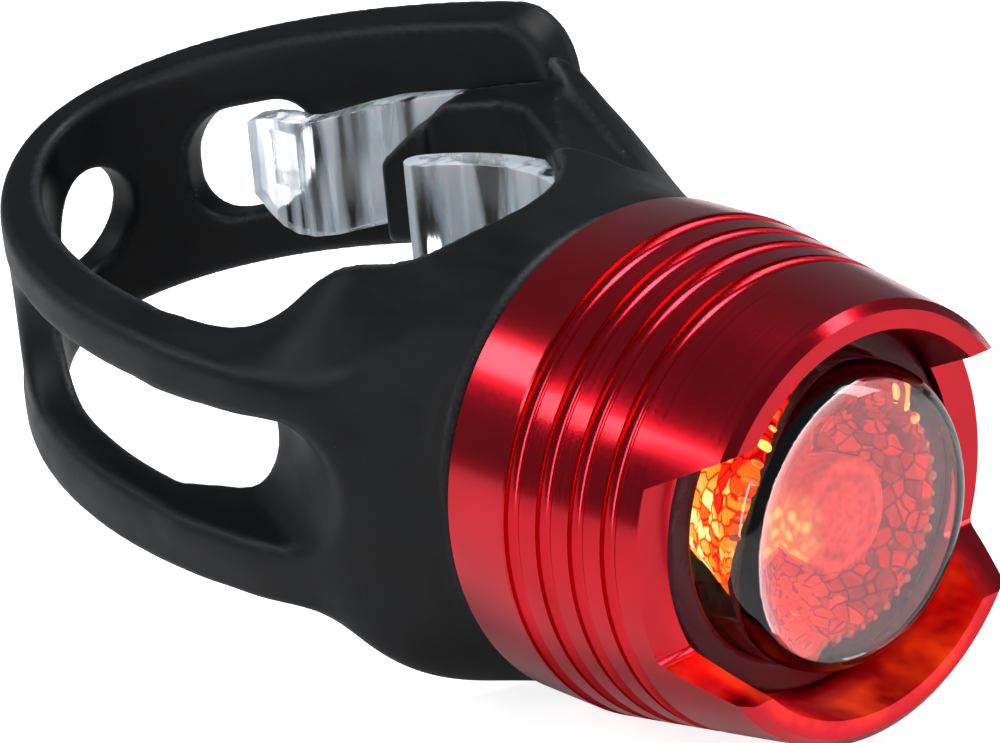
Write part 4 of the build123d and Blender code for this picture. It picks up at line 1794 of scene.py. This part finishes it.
def soften(field: np.ndarray) -> np.ndarray:
    """Rounds a field's sharp edges by averaging each value with its neighbours.

    Args:
        field: Distances on the grid.

    Returns:
        The softened distances.
    """
    for axis in (0, 1, 2, 0, 1, 2):
        field = 0.5 * field + 0.25 * (np.roll(field, 1, axis) + np.roll(field, -1, axis))
    return field


def trim(piece: bpy.types.Object, place: Vector, normal: Vector, wanted: Callable[[Vector], bool]) -> None:
    """Cuts a skin at a plane where a rule says so, and closes the cut with flat caps.

    Args:
        piece: Object whose mesh is cut.
        place: Point of the plane.
        normal: The plane's normal, on the side that is removed.
        wanted: Function of a place that says whether the cut applies there.
    """
    shell = bmesh.new()
    shell.from_mesh(piece.data)
    faces = [face for face in shell.faces if wanted(face.calc_center_median())]
    edges = dict.fromkeys(edge for face in faces for edge in face.edges)
    points = dict.fromkeys(point for face in faces for point in face.verts)
    bmesh.ops.bisect_plane(
        shell, geom=[*faces, *edges, *points], plane_co=place, plane_no=normal, clear_outer=True
    )
    rims = [edge for edge in shell.edges if edge.is_boundary]
    caps = bmesh.ops.holes_fill(shell, edges=rims, sides=0)["faces"]
    for edge in rims:
        edge.smooth = False
    bmesh.ops.triangulate(shell, faces=caps)
    shell.to_mesh(piece.data)
    shell.free()


def mark_edges(piece: bpy.types.Object) -> None:
    """Stores how sharply each place of a skin bends outwards, for the pale edges that are partly wear and
    partly a painted highlight.

    Args:
        piece: Object whose mesh gets the attribute EDGE_BEND.
    """
    mesh = piece.data
    count, links = len(mesh.vertices), len(mesh.edges)
    places, normals = np.empty(count * 3), np.empty(count * 3)
    mesh.vertices.foreach_get("co", places)
    mesh.vertices.foreach_get("normal", normals)
    ends = np.empty(links * 2, np.int64)
    mesh.edges.foreach_get("vertices", ends)
    places, normals = places.reshape(-1, 3) / MM, normals.reshape(-1, 3)
    first, second = ends.reshape(-1, 2).T
    step = places[second] - places[first]
    turn = np.sum((normals[second] - normals[first]) * step, 1)
    turn /= np.maximum(np.sum(step * step, 1), LEAST_STEP**2)
    total = np.bincount(first, turn, count) + np.bincount(second, turn, count)
    shared = np.bincount(first, minlength=count) + np.bincount(second, minlength=count)
    bend = np.clip(total / np.maximum(shared, 1), -MOST_BEND, MOST_BEND)
    attribute = mesh.attributes.new(EDGE_BEND, "FLOAT", "POINT")
    attribute.data.foreach_set("value", bend.astype(np.float32))


def wrap(name: str, values: np.ndarray, grid: Grid) -> bpy.types.Object:
    """Makes a piece from a distance field.

    Args:
        name: Piece name.
        values: Field on the grid.
        grid: The grid.

    Returns:
        The new object.
    """
    points, quads = surface_net(values, grid)
    moved = np.stack([points[:, 0] + AXIS_SIDE, points[:, 1] + REAR_Y, points[:, 2]], axis=1)
    return make_object(name, moved, quads.tolist())


# ---------------------------------------------------------------- stage


@dataclass(frozen=True)
class Lamp:
    """One soft box that faces the middle of the light, in millimetres and watts."""

    name: str
    place: Triple
    size: Pair
    power: float

    def build(self) -> None:
        """Adds the lamp to the scene."""
        data = bpy.data.lights.new(self.name, "AREA")
        data.shape = "RECTANGLE"
        data.size, data.size_y = (side * MM for side in self.size)
        data.energy = self.power
        lamp = object_of(self.name, data)
        centre = Vector(self.place) * MM
        lamp.location = centre
        lamp.rotation_mode = "QUATERNION"
        lamp.rotation_quaternion = (-centre).to_track_quat("-Z", "Y")


@dataclass(frozen=True)
class Studio:
    """Camera, floor, surroundings and lamps."""

    camera_place: Triple = (-135.09, -172.23, 84.53)
    camera_right: Triple = (0.75277829, -0.65250825, -0.08693573)
    camera_up: Triple = (0.29417828, 0.21532019, 0.93118009)
    camera_back: Triple = (-0.58888368, -0.72654676, 0.35404212)
    lens: float = 148.5
    sensor: float = 36.0
    clip: Pair = (0.005, 20.0)
    sky_colour: Colour = (0.84, 0.92, 1.0)
    sky_strength: float = 0.2
    floor_half: float = 3000.0
    floor_level: float = -14.3
    floor_glow: float = 0.8
    floor_dark: Colour = (0.86, 0.86, 0.86)
    floor_pale: Colour = (0.88, 0.88, 0.88)
    lamps: tuple[Lamp, ...] = (
        Lamp("box_top", (60, -40, 420), (240, 180), 1.5),
        Lamp("box_left", (-420, -60, 160), (60, 420), 0.85),
        Lamp("box_right", (300, -330, 200), (80, 360), 0.7),
        Lamp("box_back", (-256, 270, 243), (260, 70), 0.42),
    )

    def camera(self) -> None:
        """Sets the camera to the photograph's view."""
        data = bpy.data.cameras.new("photo_camera")
        data.lens, data.sensor_width = self.lens, self.sensor
        data.clip_start, data.clip_end = self.clip
        camera = object_of("photo_camera", data)
        turn = Matrix((self.camera_right, self.camera_up, self.camera_back)).transposed().to_4x4()
        camera.matrix_world = Matrix.Translation(Vector(self.camera_place) * MM) @ turn
        bpy.context.scene.camera = camera

    def world(self) -> None:
        """Makes the surroundings white where they are seen and a dim cool light elsewhere."""
        world = bpy.data.worlds.new("white_surround")
        world.use_nodes = True
        tree = world.node_tree
        tree.nodes.clear()
        output = tree.nodes.new("ShaderNodeOutputWorld")
        path = tree.nodes.new("ShaderNodeLightPath")
        seen = tree.nodes.new("ShaderNodeBackground")
        seen.inputs["Color"].default_value = (1, 1, 1, 1)
        light = tree.nodes.new("ShaderNodeBackground")
        light.inputs["Color"].default_value = (*self.sky_colour, 1)
        light.inputs["Strength"].default_value = self.sky_strength
        either = tree.nodes.new("ShaderNodeMath")
        either.operation = "MAXIMUM"
        mix = tree.nodes.new("ShaderNodeMixShader")
        tree.links.new(path.outputs["Is Camera Ray"], either.inputs[0])
        tree.links.new(path.outputs["Is Transmission Ray"], either.inputs[1])
        for place, source in enumerate((either, light, seen)):
            tree.links.new(source.outputs[0], mix.inputs[place])
        tree.links.new(mix.outputs[0], output.inputs[0])
        bpy.context.scene.world = world

    def floor_finish(self) -> bpy.types.Material:
        """Makes a pale matt finish that glows where it is seen, so that only its shadow darkens it.

        Returns:
            The floor's material.
        """
        bench = ShaderBench("pale_floor")
        path = bench.add("ShaderNodeLightPath")
        seen = bench.calc("MAXIMUM", path.outputs["Is Camera Ray"], path.outputs["Is Transmission Ray"])
        matt = bench.add("ShaderNodeBsdfDiffuse")
        tone = bench.ramp(bench.noise(bench.place(), 0.4), [(0.3, self.floor_dark), (0.7, self.floor_pale)])
        bench.feed(matt.inputs["Color"], tone)
        glow = bench.add("ShaderNodeEmission")
        bench.feed(glow.inputs["Strength"], bench.calc("MULTIPLY", seen, self.floor_glow))
        both = bench.add("ShaderNodeAddShader")
        bench.feed(both.inputs[0], matt.outputs[0])
        bench.feed(both.inputs[1], glow.outputs[0])
        return bench.finish(both.outputs[0])

    def floor(self) -> None:
        """Lays the floor under the light."""
        half, level = self.floor_half, self.floor_level
        corners = [(-half, -half, level), (half, -half, level), (half, half, level), (-half, half, level)]
        floor = make_object("floor", corners, [(0, 1, 2, 3)])
        floor.data.materials.append(self.floor_finish())

    def build(self) -> None:
        """Sets up the whole studio."""
        self.camera()
        self.world()
        self.floor()
        for lamp in self.lamps:
            lamp.build()
        bpy.context.scene.view_settings.view_transform = "Standard"


def main() -> None:
    """Builds the light's pieces in order and reports each one."""
    logging.basicConfig(level=logging.INFO, format="%(name)s: %(message)s")
    Studio().build()
    log.info("studio")
    dress_nodes()
    LitOptics().build()
    core = ClearCore().build()
    log.info("core: %d faces", len(core.data.polygons))
    skins = SiliconeBody().build()
    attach(skins["holder"], "holder")
    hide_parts("silicone_holder")
    loop = skins["loop"]
    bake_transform(loop)
    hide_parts("strap_band")
    for name, piece in skins.items():
        log.info("skin %s: %d faces", name, len(piece.data.polygons))


if __name__ == "__main__":
    main()
